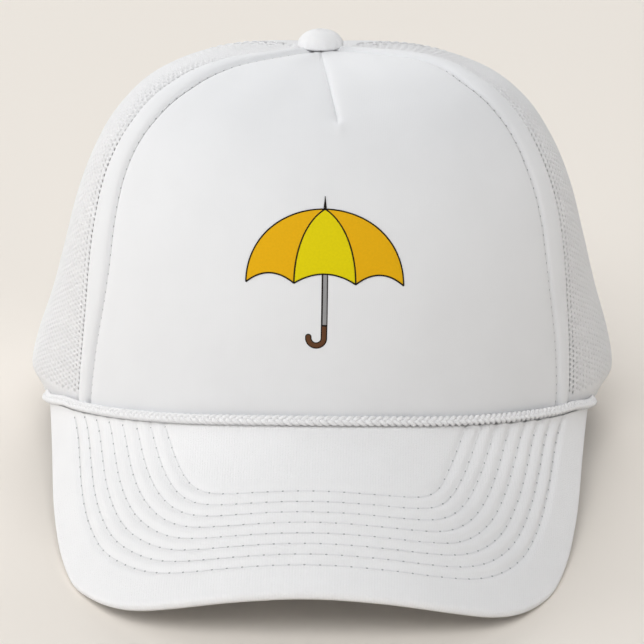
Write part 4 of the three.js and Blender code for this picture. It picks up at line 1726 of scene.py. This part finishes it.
@dataclass
class NetSeams:
    """Tape behind the seams of the net, held by a row of stitches on each side."""

    shape: CapShape
    tape_width: float = 11.0
    tape_depth: float = 1.12
    tape_thickness: float = 0.3
    stitch_inset: float = 2.6
    stitch_pitch: float = 3.6
    thread_radius: float = 0.24
    foot: float = 0.035
    top: float = 0.955

    def build(self, arch_top: float) -> bpy.types.Object:
        """Builds the tapes and stitches of the two side seams and the one at the back.

        Args:
            arch_top: place where the seam at the back starts, over the half-moon.

        Returns:
            The new object.
        """
        part = Part(self.shape)
        beside = self.shape.back_seam
        for seam, low in ((beside, self.foot), (-beside, self.foot), (math.pi, arch_top)):
            self.seam(part, seam, low)
        return part.build("net_seam_tape", [BAND_CLOTH, THREAD], "net_cloth")

    def seam(self, part: Part, seam: float, low: float) -> None:
        """Adds the tape and two rows of stitches of one seam.

        Args:
            part: mesh to add to.
            seam: angle of the seam.
            low: place where it starts.
        """
        shape = self.shape
        t = np.linspace(low, self.top, 150)
        radian = shape.radian(np.full_like(t, seam), t)
        across = np.linspace(-0.5, 0.5, 7)[:, None] * self.tape_width
        angle = seam + across / radian
        places = np.broadcast_to(t, angle.shape)
        outer = shape.wall(angle, places, self.tape_depth)
        inner = shape.wall(angle, places, self.tape_depth + self.tape_thickness)
        part.add_shell(outer, inner, stacked(across, t * WALL_LENGTH, 0.0))
        for side in (-1, 1):
            beside = seam + side * self.stitch_inset / radian
            line = shape.wall(beside, t, THREAD_DEPTH)
            out = shape.axes(beside, t)[2]
            part.add_stitches(line, out, self.stitch_pitch, self.thread_radius, slot=1)


@dataclass
class Brim:
    """The curved brim: cloth over a stiff insert, quilted by rows of stitching."""

    shape: CapShape
    columns: int = 244
    rows: int = 106
    row_count: int = 8
    groove_depth: float = 1.25
    stitch_pitch: float = 4.7
    thread_radius: float = 0.19
    corner_rounding: float = 4.5
    rounding_growth: float = 0.45
    row_tolerance: float = 0.15
    wall_clearance: float = 1.0
    # Share of the grooves' depth on the -X side, what the +X side adds, and where it does
    flat_side: float = 0.6
    deep_side: float = 0.45
    side_span: tuple[float, float] = (-70.0, 60.0)
    pillow_half_width: float = 2.25
    bite_share: float = 0.28
    bite_width: float = 0.6
    under_share: float = 0.5
    thread_lift: float = 0.12
    thread_under_share: float = 0.45
    stitch_share: float = 0.88
    swell_length: float = 6.0
    swell_end: float = 45.0
    edge_crowding: float = 1.12
    edge_roundness: float = 0.96

    # Along the edge from -1 to 1: how far the cloth reaches past the plain edge, and the
    # first row of stitches and the row spacing from there
    edge_rows: tuple[tuple[float, float, float, float], ...] = (
        (-1.00, 0.2, 15.0, 4.90),
        (-0.75, 0.6, 13.4, 4.90),
        (-0.55, 0.4, 14.0, 4.85),
        (-0.38, 0.0, 13.9, 4.65),
        (-0.20, 0.1, 12.7, 4.40),
        (0.00, 0.3, 12.7, 4.36),
        (0.20, 0.5, 12.8, 4.42),
        (0.38, 1.7, 14.0, 4.70),
        (0.55, 1.2, 14.2, 4.85),
        (0.75, 0.6, 13.6, 4.90),
        (1.00, -0.6, 13.2, 4.90),
    )

    def read(self, u: Array) -> Array:
        """Reach, first row and row spacing at places along the edge."""
        knots = with_straight_ends(np.array(self.edge_rows))
        return smooth_through(knots[:, 0], knots[:, 1:], u)

    def outer(self, u: Array) -> Array:
        """Outer edge of the cloth in the flat pattern.

        Args:
            u: places along the edge, from -1 to 1.

        Returns:
            Points across and outwards.
        """
        line = np.stack(self.shape.brim_outer(u), -1)
        ahead = unit(np.gradient(line, axis=0))
        outwards = np.stack([-ahead[:, 1], ahead[:, 0]], -1)
        return line + outwards * self.read(u)[:, :1]

    @cached_property
    def edge(self) -> tuple[Array, Array]:
        """Places along the outer edge, and the edge as a dense line."""
        u = np.linspace(-1, 1, 700)
        return u, self.outer(u)

    def nearest(self, s: Array, out: Array) -> Array:
        """Distance of flat-pattern places from the outer edge.

        Args:
            s: lengths across.
            out: lengths outwards.

        Returns:
            Distances of the same shape.
        """
        flat = np.stack([s.ravel(), out.ravel()], -1)
        _, line = self.edge
        a, step = line[:-1], np.diff(line, axis=0)
        share = np.clip(np.einsum("nkj,kj->nk", flat[:, None] - a, step) / (step**2).sum(1), 0, 1)
        far = np.linalg.norm(flat[:, None] - a - share[..., None] * step, axis=-1)
        return far.min(1).reshape(s.shape)

    @cached_property
    def row_lines(self) -> list[Array]:
        """Lines of the stitch rows in the flat pattern, from the outermost inwards.

        Returns:
            One line of points per row.
        """
        u, line = self.edge
        ahead = unit(np.gradient(line, axis=0))
        inwards = np.stack([ahead[:, 1], -ahead[:, 0]], -1)
        _, first, spacing = self.read(u).T
        angle = np.linspace(-1, 1, 200) * self.shape.brim_end
        inner_s, inner_out = self.shape.brim_inner(angle, 0.0)
        lines = []
        for number in range(self.row_count):
            inset = first + number * spacing
            row = line + inwards * inset[:, None]
            fair = np.abs(self.nearest(row[:, 0], row[:, 1]) - inset) < self.row_tolerance
            wall = np.interp(row[:, 0], inner_s, inner_out) + self.wall_clearance
            rounding = self.corner_rounding + self.rounding_growth * number
            lines.append(self.rounded(row[fair & (row[:, 1] > wall)], rounding))
        return lines

    def rounded(self, row: Array, rounding: float) -> Array:
        """Rounds the corners of a line, and spaces its points evenly.

        Args:
            row: points of the line in the flat pattern.
            rounding: length over which a corner is rounded.

        Returns:
            The new line.
        """
        step = 0.4
        lengths = lengths_along(row)
        line = points_at(np.arange(0, lengths[-1], step), lengths, row)
        reach = int(2.5 * rounding / step)
        weights = bell(np.arange(-reach, reach + 1) * step, rounding * 1.4)
        ends = 2 * line[0] - line[reach:0:-1], line, 2 * line[-1] - line[-2:-reach - 2:-1]
        share = weights / weights.sum()
        return np.stack([np.convolve(c, share, "valid") for c in np.concatenate(ends).T], -1)

    def depth_at(self, s: Array) -> Array:
        """Depth of the grooves across the brim, which is pressed flatter on the -X side."""
        return self.groove_depth * (self.flat_side + self.deep_side * smoothstep(s, *self.side_span))

    def relief(self, s: Array, out: Array) -> Array:
        """Height of the cloth over the plain brim: a groove at each row, with pillows between.

        Args:
            s: lengths across.
            out: lengths outwards.

        Returns:
            Heights, 0 or less.
        """
        points = np.concatenate(self.row_lines)
        tree = KDTree(len(points))
        for number, (a, b) in enumerate(points):
            tree.insert((a, b, 0), number)
        tree.balance()
        away = np.array([tree.find((a, b, 0))[2] for a, b in zip(s.ravel(), out.ravel())])
        away = away.reshape(s.shape)
        pillow = 0.5 + 0.5 * np.cos(math.pi * np.clip(away / self.pillow_half_width, 0, 1))
        bite = self.bite_share * bell(away, self.bite_width)
        return -self.depth_at(s) * (bite + (1 - self.bite_share) * pillow)

    def build(self) -> bpy.types.Object:
        """Builds the quilted brim with its stitch rows above and below.

        Returns:
            The new object.
        """
        shape = self.shape
        u = np.linspace(-1, 1, self.columns)
        # Rows are closer at the outer edge, which is rounded
        v = 1 - (1 - np.linspace(0, 1, self.rows)) ** self.edge_crowding
        outer = self.outer(u)
        grids = []
        for lift in (0.0, -shape.brim_thickness):
            inner = np.stack(shape.brim_inner(u * shape.brim_end, lift), -1)
            grids.append(inner[None] + (outer - inner)[None] * v[:, None, None])
        s, out = np.moveaxis(grids[0], -1, 0)
        some = 8
        starts = range(0, self.rows, some)
        inset = np.concatenate([self.nearest(s[i:i + some], out[i:i + some]) for i in starts])
        radius = shape.brim_thickness / 2
        near = np.clip(radius - inset, 0, radius)
        round_off = (radius - np.sqrt(radius**2 - near**2)) * self.edge_roundness
        relief = self.relief(s, out) * smoothstep(inset, 0, 3)
        from_wall = v[:, None] * np.linalg.norm(grids[0][-1] - grids[0][0], axis=-1)
        swell = shape.seam_rise(u) * np.exp(-from_wall / self.swell_length) * (1 - v[:, None])
        top = shape.brim_point(s, out, relief - round_off + swell)
        bottom_lift = -shape.brim_thickness - relief * self.under_share + round_off
        bottom = shape.brim_point(grids[1][..., 0], grids[1][..., 1], bottom_lift)
        # The corners rest on the ground
        for face in (top, bottom):
            face[..., 2] = np.maximum(face[..., 2], 0.0)
        part = Part(shape)
        part.add_shell(top, bottom, stacked(s, out, 0.0))
        for row in self.row_lines:
            self.stitch_row(part, row)
        # Needle holes get painted shade: a darker grey cloth
        finishes = [BRIM_CLOTH, THREAD, PAINTED_HOLE_SHADE]
        return part.build("quilted_brim", finishes, "brim_cloth", "brim")

    def swell_at(self, row: Array) -> Array:
        """How far the seam allowance lifts the cloth at flat-pattern places.

        Args:
            row: places across and outwards.

        Returns:
            Heights, one per place.
        """
        u = np.linspace(-1, 1, 400)
        inner = np.stack(self.shape.brim_inner(u * self.shape.brim_end, 0.0), -1)
        far = np.linalg.norm(row[:, None] - inner, axis=-1)
        best = far.argmin(1)
        near = far[np.arange(len(row)), best]
        fall = np.exp(-near / self.swell_length) * np.exp(-near / self.swell_end)
        return self.shape.seam_rise(u[best]) * fall

    def stitch_row(self, part: Part, row: Array) -> None:
        """Adds the stitches of one row, above and below.

        Args:
            part: mesh to add to.
            row: points of the row in the flat pattern.
        """
        shape = self.shape
        groove = self.depth_at(row[:, 0])
        under = self.thread_under_share * groove - shape.brim_thickness
        for lift, way, holes in ((self.thread_lift - groove, 1, 2), (under, -1, None)):
            lifts = lift + (way > 0) * self.swell_at(row)
            on_cloth = shape.brim_point(row[:, 0], row[:, 1], lifts)
            off_cloth = shape.brim_point(row[:, 0], row[:, 1], lifts + way)
            part.add_stitches(
                on_cloth, unit(off_cloth - on_cloth), self.stitch_pitch, self.thread_radius,
                self.stitch_share, 1, holes,
            )


@dataclass
class Rope:
    """Plait of three strands along the corner between brim and crown."""

    shape: CapShape
    strand_radius: float = 0.73
    swing: float = 0.92
    weave_depth: float = 0.7
    period: float = 6.9
    tuck_length: float = 6.0
    overrun: float = math.radians(4)
    step: float = 0.42
    strand_sides: int = 10
    tuck_depth: float = 1.7
    tilt: float = 0.9
    end_size: float = 0.45
    end_span: tuple[float, float] = (-0.6, 2.4)
    yarn_width: float = 0.8
    yarn_shift: float = 20.0

    def build(self) -> bpy.types.Object:
        """Builds the three strands around the rope's centre line.

        Returns:
            The new object.
        """
        shape = self.shape
        angle = np.linspace(-1, 1, 500) * (shape.brim_end + self.overrun)
        line = shape.rope_centre(angle)
        lengths = lengths_along(line)
        along = np.arange(0, lengths[-1], self.step)
        centre = points_at(along, lengths, line)
        ahead = unit(np.gradient(centre, axis=0))
        wall_out = unit(centre * [1, 1, 0])
        # The rope sits a little proud of the corner, and its ends go in under the net
        from_end = np.minimum(along, lengths[-1] - along)
        inwards = self.tuck_depth * (1 - smoothstep(from_end, 0, self.tuck_length))[:, None]
        share = np.interp(along, lengths, angle) / shape.brim_end
        rise = shape.seam_rise(share)[:, None] * [0, 0, 1]
        centre = centre + rise - wall_out * inwards
        # The flat face of the plait looks up and out, between the wall and the brim
        face = unit(wall_out + np.array([0, 0, self.tilt]))
        face = unit(face - ahead * np.einsum("ij,ij->i", face, ahead)[:, None])
        beside = np.cross(ahead, face)
        around = turns(self.strand_sides)
        part = Part(shape)
        ends = smoothstep(from_end, *self.end_span)[:, None]
        for strand in range(3):
            phase = math.tau * (along / self.period + strand / 3)
            swing = self.swing * np.sin(phase)[:, None] * ends
            depth = self.weave_depth * np.sin(2 * phase)[:, None] * ends
            path = centre + beside * swing + face * depth
            forward = unit(np.gradient(path, axis=0))
            up = unit(face - forward * np.einsum("ij,ij->i", face, forward)[:, None])
            side = np.cross(forward, up)
            size = self.strand_radius * (self.end_size + (1 - self.end_size) * ends[:, :, None])
            ring = path[:, None] + size * (
                np.cos(around)[None, :, None] * side[:, None]
                + np.sin(around)[None, :, None] * up[:, None]
            )
            yarns = around * self.yarn_width + strand * self.yarn_shift
            part.add_tube(ring, stacked(along[:, None], yarns, 0.0))
        return part.build("plaited_rope", [ROPE_YARN], "rope_cord", "rope_trim")


@dataclass
class Button:
    """Cloth-covered button on top, seated along the crown."""

    shape: CapShape
    radius: float = 7.4
    height: float = 6.0
    edge: float = 1.5
    pleats: int = 14
    pleat_depth: float = 0.1
    roll: float = 0.7
    base_inset: float = 0.35
    dome_start: float = 0.55
    dome_roundness: float = 0.92

    def build(self) -> bpy.types.Object:
        """Builds the dome, its tucked rim and the shank.

        Returns:
            The new object.
        """
        shape = self.shape
        compass = np.array([0, math.pi, math.pi / 2, -math.pi / 2])
        front, back, right, left = shape.surface(compass, shape.at_radius(compass, self.radius))
        axis = unit(np.cross(right - left, back - front))
        centre = (front + back + right + left) / 4
        level = unit(np.cross(axis, [1.0, 0, 0]))
        side = np.cross(level, axis)
        around = np.linspace(0, math.tau, 72, endpoint=False)
        spoke = np.cos(around)[:, None] * side + np.sin(around)[:, None] * level
        rows = []
        # Flat underside, rolled rim and dome, as radius and lift
        for share in np.linspace(0, 1, 9):
            r = shape.shank_radius + (self.radius - self.base_inset - shape.shank_radius) * share
            rows.append((r, shape.gap + 0.1 * (1 - share)))
        for turn in np.linspace(-math.pi / 2, 0, 7)[1:]:
            r = self.radius - self.roll + self.roll * math.cos(turn)
            rows.append((r, shape.gap + 0.75 + self.roll * math.sin(turn)))
        start = self.edge * self.dome_start
        for turn in np.linspace(0, math.pi / 2, 22)[1:-1]:
            rise = start + (self.height - start) * math.sin(turn)
            rows.append((self.radius * math.cos(turn) ** self.dome_roundness, shape.gap + rise))
        loops = []
        for r, lift in [(shape.shank_radius, -shape.foam_thickness - shape.gap), *rows]:
            pleat = self.pleat_depth * np.cos(around * self.pleats)
            tuck = pleat * bell(r - self.radius, 0.8) * (lift > 0.2)
            reach = np.minimum(r + tuck, self.radius)
            loops.append(centre + spoke * reach[:, None] + axis * lift)
        loops = np.array(loops)
        part = Part(shape)
        part.add_tube(loops, stacked(around * 7, np.arange(len(loops))[:, None] * 0.6, 0.0))
        return part.build("covered_button", [BUTTON_CLOTH], "foam_cloth", "top_button")


@dataclass
class Bands:
    """Sweatband, strap and the tape around the half-moon at the back."""

    shape: CapShape
    band_height: float = 30.0
    band_thickness: float = 1.5
    net_room: float = 1.25
    setback: float = 1.0
    hem_height: float = 2.4
    arch_half_width: float = 38.0
    arch_height: float = 50.0
    tape_thickness: float = 0.8
    tape_leg: float = 4.5
    strap_height: float = 18.0
    strap_thickness: float = 1.6
    strap_overlap: float = 13.0
    thread_radius: float = 0.24
    hem_pitch: float = 3.6
    band_pitch: float = 3.2
    tape_pitch: float = 3.0
    tape_thread_radius: float = 0.22
    # Place of the sweatband's stitched groove, as a share of its height
    groove_share: float = 0.86
    stud_count: int = 7
    stud_spacing: float = 9.0
    # Stud from its foot to its tip: radius and lift
    stud_rows: tuple[tuple[float, float], ...] = (
        (2.3, -0.2), (2.3, 0.12), (2.1, 0.3), (1.5, 0.34), (1.2, 0.62), (0.6, 0.8), (0.1, 0.84),
    )

    @property
    def arch_corner(self) -> float:
        """Angle from the back to the foot of the half-moon."""
        return math.asin(self.arch_half_width / self.shape.rim_half_width)

    @property
    def strap_end(self) -> float:
        """Angle from the front to the end of the strap."""
        return math.pi - self.arch_corner - self.strap_overlap / self.shape.rim_back

    @property
    def strap_depth(self) -> float:
        """Depth of the strap's outer face."""
        return self.shape.net_thickness + self.tape_thickness + 2 * self.shape.gap

    def arch_edge(self, angle: Array) -> Array:
        """Place of the half-moon's edge on each meridian, or the foot beside it.

        Args:
            angle: angles from the front.

        Returns:
            Places from the foot to the top, of the same shape.
        """
        across = np.sin(angle) * self.shape.rim_half_width / self.arch_half_width
        height = self.arch_height * np.sqrt(np.maximum(1 - across**2, 0))
        inside = (np.abs(across) < 1) & (np.cos(angle) < 0)
        return np.where(inside, self.shape.at_height(angle, height), 0.0)

    @property
    def arch_top(self) -> float:
        """Place of the top of the half-moon."""
        return float(self.arch_edge(np.array([math.pi]))[0])

    def band_depth(self, angle: Array) -> Array:
        """Depth of the sweatband's outer face, eased from foam to net to strap.

        Args:
            angle: angles from the front.

        Returns:
            Depths under the crown's face.
        """
        shape = self.shape
        turned = from_front(angle)
        along = np.abs(turned)
        ease, clear = math.radians(14), math.radians(3)
        # Place on the wall at which the front seam meets the band
        low = np.array(0.12)
        seam = np.where(turned > 0, shape.seam_angle(1, low), -shape.seam_angle(-1, low))
        behind = smoothstep(along - seam, math.radians(0.9), math.radians(4.5))
        strap = smoothstep(along, self.strap_end - ease, self.strap_end - clear)
        foam = shape.foam_thickness + shape.gap
        beside = foam + (self.net_room - foam) * behind
        inner = self.strap_depth + self.strap_thickness + shape.gap
        return beside + (inner - beside) * strap

    def grid(self, angle: Array, heights: Array) -> tuple[Array, Array]:
        """Angles and places of a grid at heights above the foot."""
        places = self.shape.at_height(angle, heights)
        return np.broadcast_to(angle, places.shape), places

    def sweatband(self) -> bpy.types.Object:
        """Builds the sweatband with a rolled lower edge and a stitched upper edge.

        Returns:
            The new object.
        """
        shape = self.shape
        end = math.pi - self.arch_corner
        columns = np.linspace(-end, end, 200)
        share = np.linspace(0, 1, 22)[:, None]
        angle, t = self.grid(columns, self.setback + self.band_height * share)
        edge = np.clip(np.minimum(share, 1 - share) * self.band_height / 0.9, 0, 1)
        shy = 0.6 * (1 - np.sqrt(1 - (1 - edge) ** 2))
        groove = 0.3 * bell((share - self.groove_share) * self.band_height, 0.8)
        pad = 0.18 * np.sin(math.pi * share) - groove
        depth = self.band_depth(angle)
        outer = shape.wall(angle, t, depth + shy)
        inner = shape.wall(angle, t, depth + self.band_thickness - shy + pad)
        part = Part(shape)
        cloth = stacked(angle * shape.rim_half_width, share * self.band_height, 0.0)
        part.add_shell(outer, inner, cloth)
        self.hem(part)
        row_t = shape.at_height(columns, self.setback + self.groove_share * self.band_height)
        out = shape.axes(columns, row_t)[2]
        line = shape.wall(columns, row_t, self.band_depth(columns) + self.band_thickness - 0.1)
        part.add_stitches(line, -out, self.band_pitch, self.thread_radius, slot=1)
        piece = part.build("sweatband_cloth", [BAND_CLOTH, THREAD], "band_cloth", "sweatband")
        return piece

    def hem(self, part: Part) -> None:
        """Adds the fold of the sweatband that wraps the foot of the net, and its stitches.

        Args:
            part: mesh to add to.
        """
        shape = self.shape
        end = math.pi - self.arch_corner
        for side in (-1, 1):
            columns = side * np.linspace(shape.brim_end + math.radians(1.2), end, 120)
            share = np.linspace(0, 1, 7)[:, None]
            angle, t = self.grid(columns, share * self.hem_height)
            curve = 0.28 * np.sqrt(np.clip(1 - (2 * share - 1) ** 2, 0, 1))
            outer = shape.wall(angle, t, 0.08 - curve)
            inner = shape.wall(angle, t, 1.35 + 0 * angle)
            cloth = stacked(angle * shape.rim_half_width, share * self.hem_height, 0.0)
            part.add_shell(outer, inner, cloth)
            row_t = shape.at_height(columns, self.hem_height + 1.2)
            line = shape.wall(columns, row_t, THREAD_DEPTH)
            out = shape.axes(columns, row_t)[2]
            part.add_stitches(line, out, self.hem_pitch, self.thread_radius, slot=1)

    def strap(self) -> bpy.types.Object:
        """Builds the snap strap: two overlapping tongues with a row of studs.

        Returns:
            The new object.
        """
        shape = self.shape
        part = Part(shape)
        first, last = self.strap_end, 2 * math.pi - self.strap_end
        middle = (first + last) / 2
        lap = math.radians(13)
        apart = 0.06
        leaf = self.strap_thickness / 2 - apart
        for start, stop, depth in (
            (first, middle + lap, self.strap_depth + self.strap_thickness / 2 + apart),
            (middle - lap, last, self.strap_depth),
        ):
            columns = np.linspace(start, stop, 90)
            free = stop if start == first else start
            from_tip = np.abs(columns - free) * shape.rim_back
            half = self.strap_height / 2
            inset = half - np.sqrt(np.maximum(half**2 - np.maximum(half - from_tip, 0) ** 2, 0))
            share = np.linspace(0, 1, 15)[:, None]
            height = self.setback + inset + (self.strap_height - 2 * inset) * share
            height = np.maximum(height, self.setback + 0.05)
            angle, t = self.grid(columns, height)
            edge = np.clip(np.minimum(share, 1 - share) * self.strap_height / 0.5, 0, 1)
            shy = 0.2 * (1 - edge)
            outer = shape.wall(angle, t, depth + shy)
            inner = shape.wall(angle, t, depth + leaf - shy)
            part.add_shell(outer, inner, stacked(angle * shape.rim_back, height, 0.0))
        self.studs(part, middle)
        return part.build("snap_strap", [STRAP_PLASTIC], "strap_plastic", "rear_strap")

    def studs(self, part: Part, middle: float) -> None:
        """Adds the row of round studs along the strap.

        Args:
            part: mesh to add to.
            middle: angle of the middle of the strap.
        """
        shape = self.shape
        places = np.arange(self.stud_count) - (self.stud_count - 1) / 2
        angles = middle + places * (self.stud_spacing / shape.rim_back)
        t = shape.at_height(angles, self.setback + self.strap_height / 2)
        around, _, outwards = shape.axes(angles, t)
        turn = np.linspace(0, math.tau, 20, endpoint=False)
        for foot, a, out in zip(shape.wall(angles, t, self.strap_depth), unit(around), outwards):
            spoke = np.cos(turn)[:, None] * a + np.sin(turn)[:, None] * np.cross(out, a)
            loops = np.array([foot + spoke * r + out * lift for r, lift in self.stud_rows])
            part.add_tube(loops, np.zeros_like(loops))

    def binding(self) -> bpy.types.Object:
        """Builds the tape folded over the half-moon's edge, with its row of stitches.

        Returns:
            The new object.
        """
        shape = self.shape
        turn = np.linspace(-1, 1, 150) * math.radians(89)
        corner = np.arcsin(self.arch_half_width / shape.rim_half_width * np.sin(turn))
        angle = math.pi - corner
        t = shape.at_height(angle, self.arch_height * np.cos(turn))
        edge = shape.surface(angle, t)
        along = unit(np.gradient(edge, axis=0))
        around, up, out = shape.axes(angle, t)
        into = unit(np.cross(along, out))
        room = shape.gap + self.tape_thickness
        net = shape.net_thickness
        # Section of the folded tape: outer leg, rounded fold, inner leg and back inside
        leg, bevel = self.tape_leg, 0.25
        outside = [(leg, room - bevel), (leg - 0.5, room), (2.0, room + 0.05), (0.2, room)]
        fold = [
            (-room * math.sin(a), -net / 2 + (net / 2 + room) * math.cos(a))
            for a in np.linspace(0.25, math.pi - 0.25, 9)
        ]
        far = [(0.2, -net - room), (2.0, -net - room - 0.05), (leg - 0.5, -net - room)]
        far.append((leg, -net - room + bevel))
        gap = shape.gap
        within = [(leg, -net - gap), (0.0, -net - gap), (-gap, -net / 2), (0.0, gap), (leg, gap)]
        section = outside + fold + far + within
        axes = around, up, out, into
        loops = np.array([self.follow(angle, t, edge, axes, *corner) for corner in section])
        girth = lengths_along(np.array(section))
        part = Part(shape)
        part.add_tube(loops.swapaxes(0, 1), stacked(lengths_along(edge)[:, None], girth, 0.0))
        line = self.follow(angle, t, edge, axes, leg - 1.3, room)
        part.add_stitches(line, out, self.tape_pitch, self.tape_thread_radius, slot=1)
        return part.build("arch_tape", [BAND_CLOTH, THREAD], "band_cloth", "arch_binding")

    def follow(
        self, angle: Array, t: Array, edge: Array, axes: tuple[Array, ...], inwards: float, lift: float
    ) -> Array:
        """Finds points beside the half-moon's edge: a length into the net and a lift off it.

        Args:
            angle: angles of the edge's points.
            t: their places from the foot to the top.
            edge: the points.
            axes: changes with angle and with t, and unit vectors outwards and into the net.
            inwards: length into the net, or out of it where negative.
            lift: height off the crown's face.

        Returns:
            Points, one per point of the edge.
        """
        around, up, out, into = axes
        if inwards <= 0:
            return edge + into * inwards + out * lift
        share = (around * up).sum(-1, keepdims=True)
        go_around = around - up * share / (up**2).sum(-1, keepdims=True)
        go_up = up - around * share / (around**2).sum(-1, keepdims=True)
        new_angle = angle + inwards * (into * go_around).sum(-1) / (go_around**2).sum(-1)
        new_t = t + inwards * (into * go_up).sum(-1) / (go_up**2).sum(-1)
        return self.shape.surface(new_angle, new_t) + self.shape.axes(new_angle, new_t)[2] * lift


@dataclass
class Studio:
    """Floor, soft lights and the camera at the photograph's angle."""

    shape: CapShape
    elevation: float = math.radians(23)
    turn: float = math.radians(1.25)
    lens: float = 187.5
    camera_place: tuple[float, float, float] = (23.1, -1042.3, 480.8)
    light_distance: float = 3.6
    light_size: float = 2.3
    room_light: float = 0.01
    floor_half_width: float = 4.0
    aim_height: float = 0.06
    # Name, azimuth from the front, elevation and power in watts
    soft_lights: tuple[tuple[str, float, float, float], ...] = (
        ("left_rear_light", math.radians(-120), math.radians(31), 33.0),
        ("left_light", math.radians(-90), math.radians(18), 26.5),
        ("key_light", math.radians(-60), math.radians(18), 24.0),
        ("upper_left_light", math.radians(-30), math.radians(50), 20.0),
        ("front_light", math.radians(0), math.radians(50), 53.0),
        ("right_light", math.radians(60), math.radians(18), 21.5),
        ("right_rear_light", math.radians(132), math.radians(35), 21.0),
        ("rear_light", math.radians(180), math.radians(29), 41.0),
        ("top_light", math.radians(0), math.radians(88), 8.0),
    )

    def build(self) -> None:
        """Builds the floor, the lights and the camera."""
        # White cloth needs the plain film response, which keeps its tones apart
        bpy.context.scene.view_settings.view_transform = "Standard"
        self.camera()
        self.floor()
        self.lights()

    def camera(self) -> None:
        """Adds the camera."""
        data = bpy.data.cameras.new("photo_camera")
        data.lens = self.lens
        data.clip_end = 20
        camera = bpy.data.objects.new("photo_camera", data)
        camera.location = self.shape.metres(np.array(self.camera_place))
        camera.rotation_euler = (math.pi / 2 - self.elevation, 0, self.turn)
        bpy.context.scene.collection.objects.link(camera)
        bpy.context.scene.camera = camera

    def floor(self) -> None:
        """Adds the pale floor."""
        mesh = bpy.data.meshes.new("studio_floor")
        half = self.floor_half_width
        corners = [(-half, -half, 0), (half, -half, 0), (half, half, 0), (-half, half, 0)]
        mesh.from_pydata(corners, [], [(0, 1, 2, 3)])
        made, tree = new_material("matt_paper")
        grain = add_node(tree, "ShaderNodeTexNoise", {}, {"Scale": 900.0, "Detail": 2.0})
        shade(tree, {
            "Base Color": linear("#EEE8E0"), "Roughness": 0.95, "Specular IOR Level": 0.1,
            "Normal": raised(tree, 0.05, 0.2, grain.outputs["Fac"]),
        })
        mesh.materials.append(made)
        floor = bpy.data.objects.new("studio_floor", mesh)
        bpy.context.scene.collection.objects.link(floor)

    def lights(self) -> None:
        """Adds the ring of soft lights, strongest from the left, and the room's light."""
        for name, azimuth, elevation, power in self.soft_lights:
            data = bpy.data.lights.new(name, "AREA")
            data.shape = "DISK"
            data.size = self.light_size
            data.energy = power
            light = bpy.data.objects.new(name, data)
            away = Vector((
                math.sin(azimuth) * math.cos(elevation),
                -math.cos(azimuth) * math.cos(elevation),
                math.sin(elevation),
            ))
            light.location = Vector((0, 0, self.aim_height)) + away * self.light_distance
            light.rotation_euler = (-away).to_track_quat("-Z", "Y").to_euler()
            bpy.context.scene.collection.objects.link(light)
        world = bpy.data.worlds.new("studio_room")
        world.use_nodes = True
        room = world.node_tree.nodes["Background"]
        room.inputs["Color"].default_value = linear("#FFFFFF")
        room.inputs["Strength"].default_value = self.room_light
        bpy.context.scene.world = world


def main() -> None:
    """Builds the cap's pieces in order, then the studio."""
    logging.basicConfig(level=logging.INFO, format="%(name)s: %(message)s")
    shape = CapShape()
    bands = Bands(shape)
    front = FrontPanel(shape)
    front.build()
    UmbrellaPrint(front).build()
    for side, hand, pull in ((1, "right", 1.35), (-1, "left", 1.0)):
        seam, end = partial(shape.seam_angle, side), side * shape.back_seam
        NetPanel(shape, f"net_side_{hand}", f"side_panel_{hand}", seam, end, near_share=pull).build()
        back = partial(shape.back_line, side)
        NetPanel(shape, f"net_back_{hand}", f"back_panel_{hand}", back, end, bands.arch_edge).build()
    NetSeams(shape).build(bands.arch_top)
    Brim(shape).build()
    Rope(shape).build()
    Button(shape).build()
    bands.sweatband()
    bands.strap()
    bands.binding()
    Studio(shape).build()


if __name__ == "__main__":
    main()
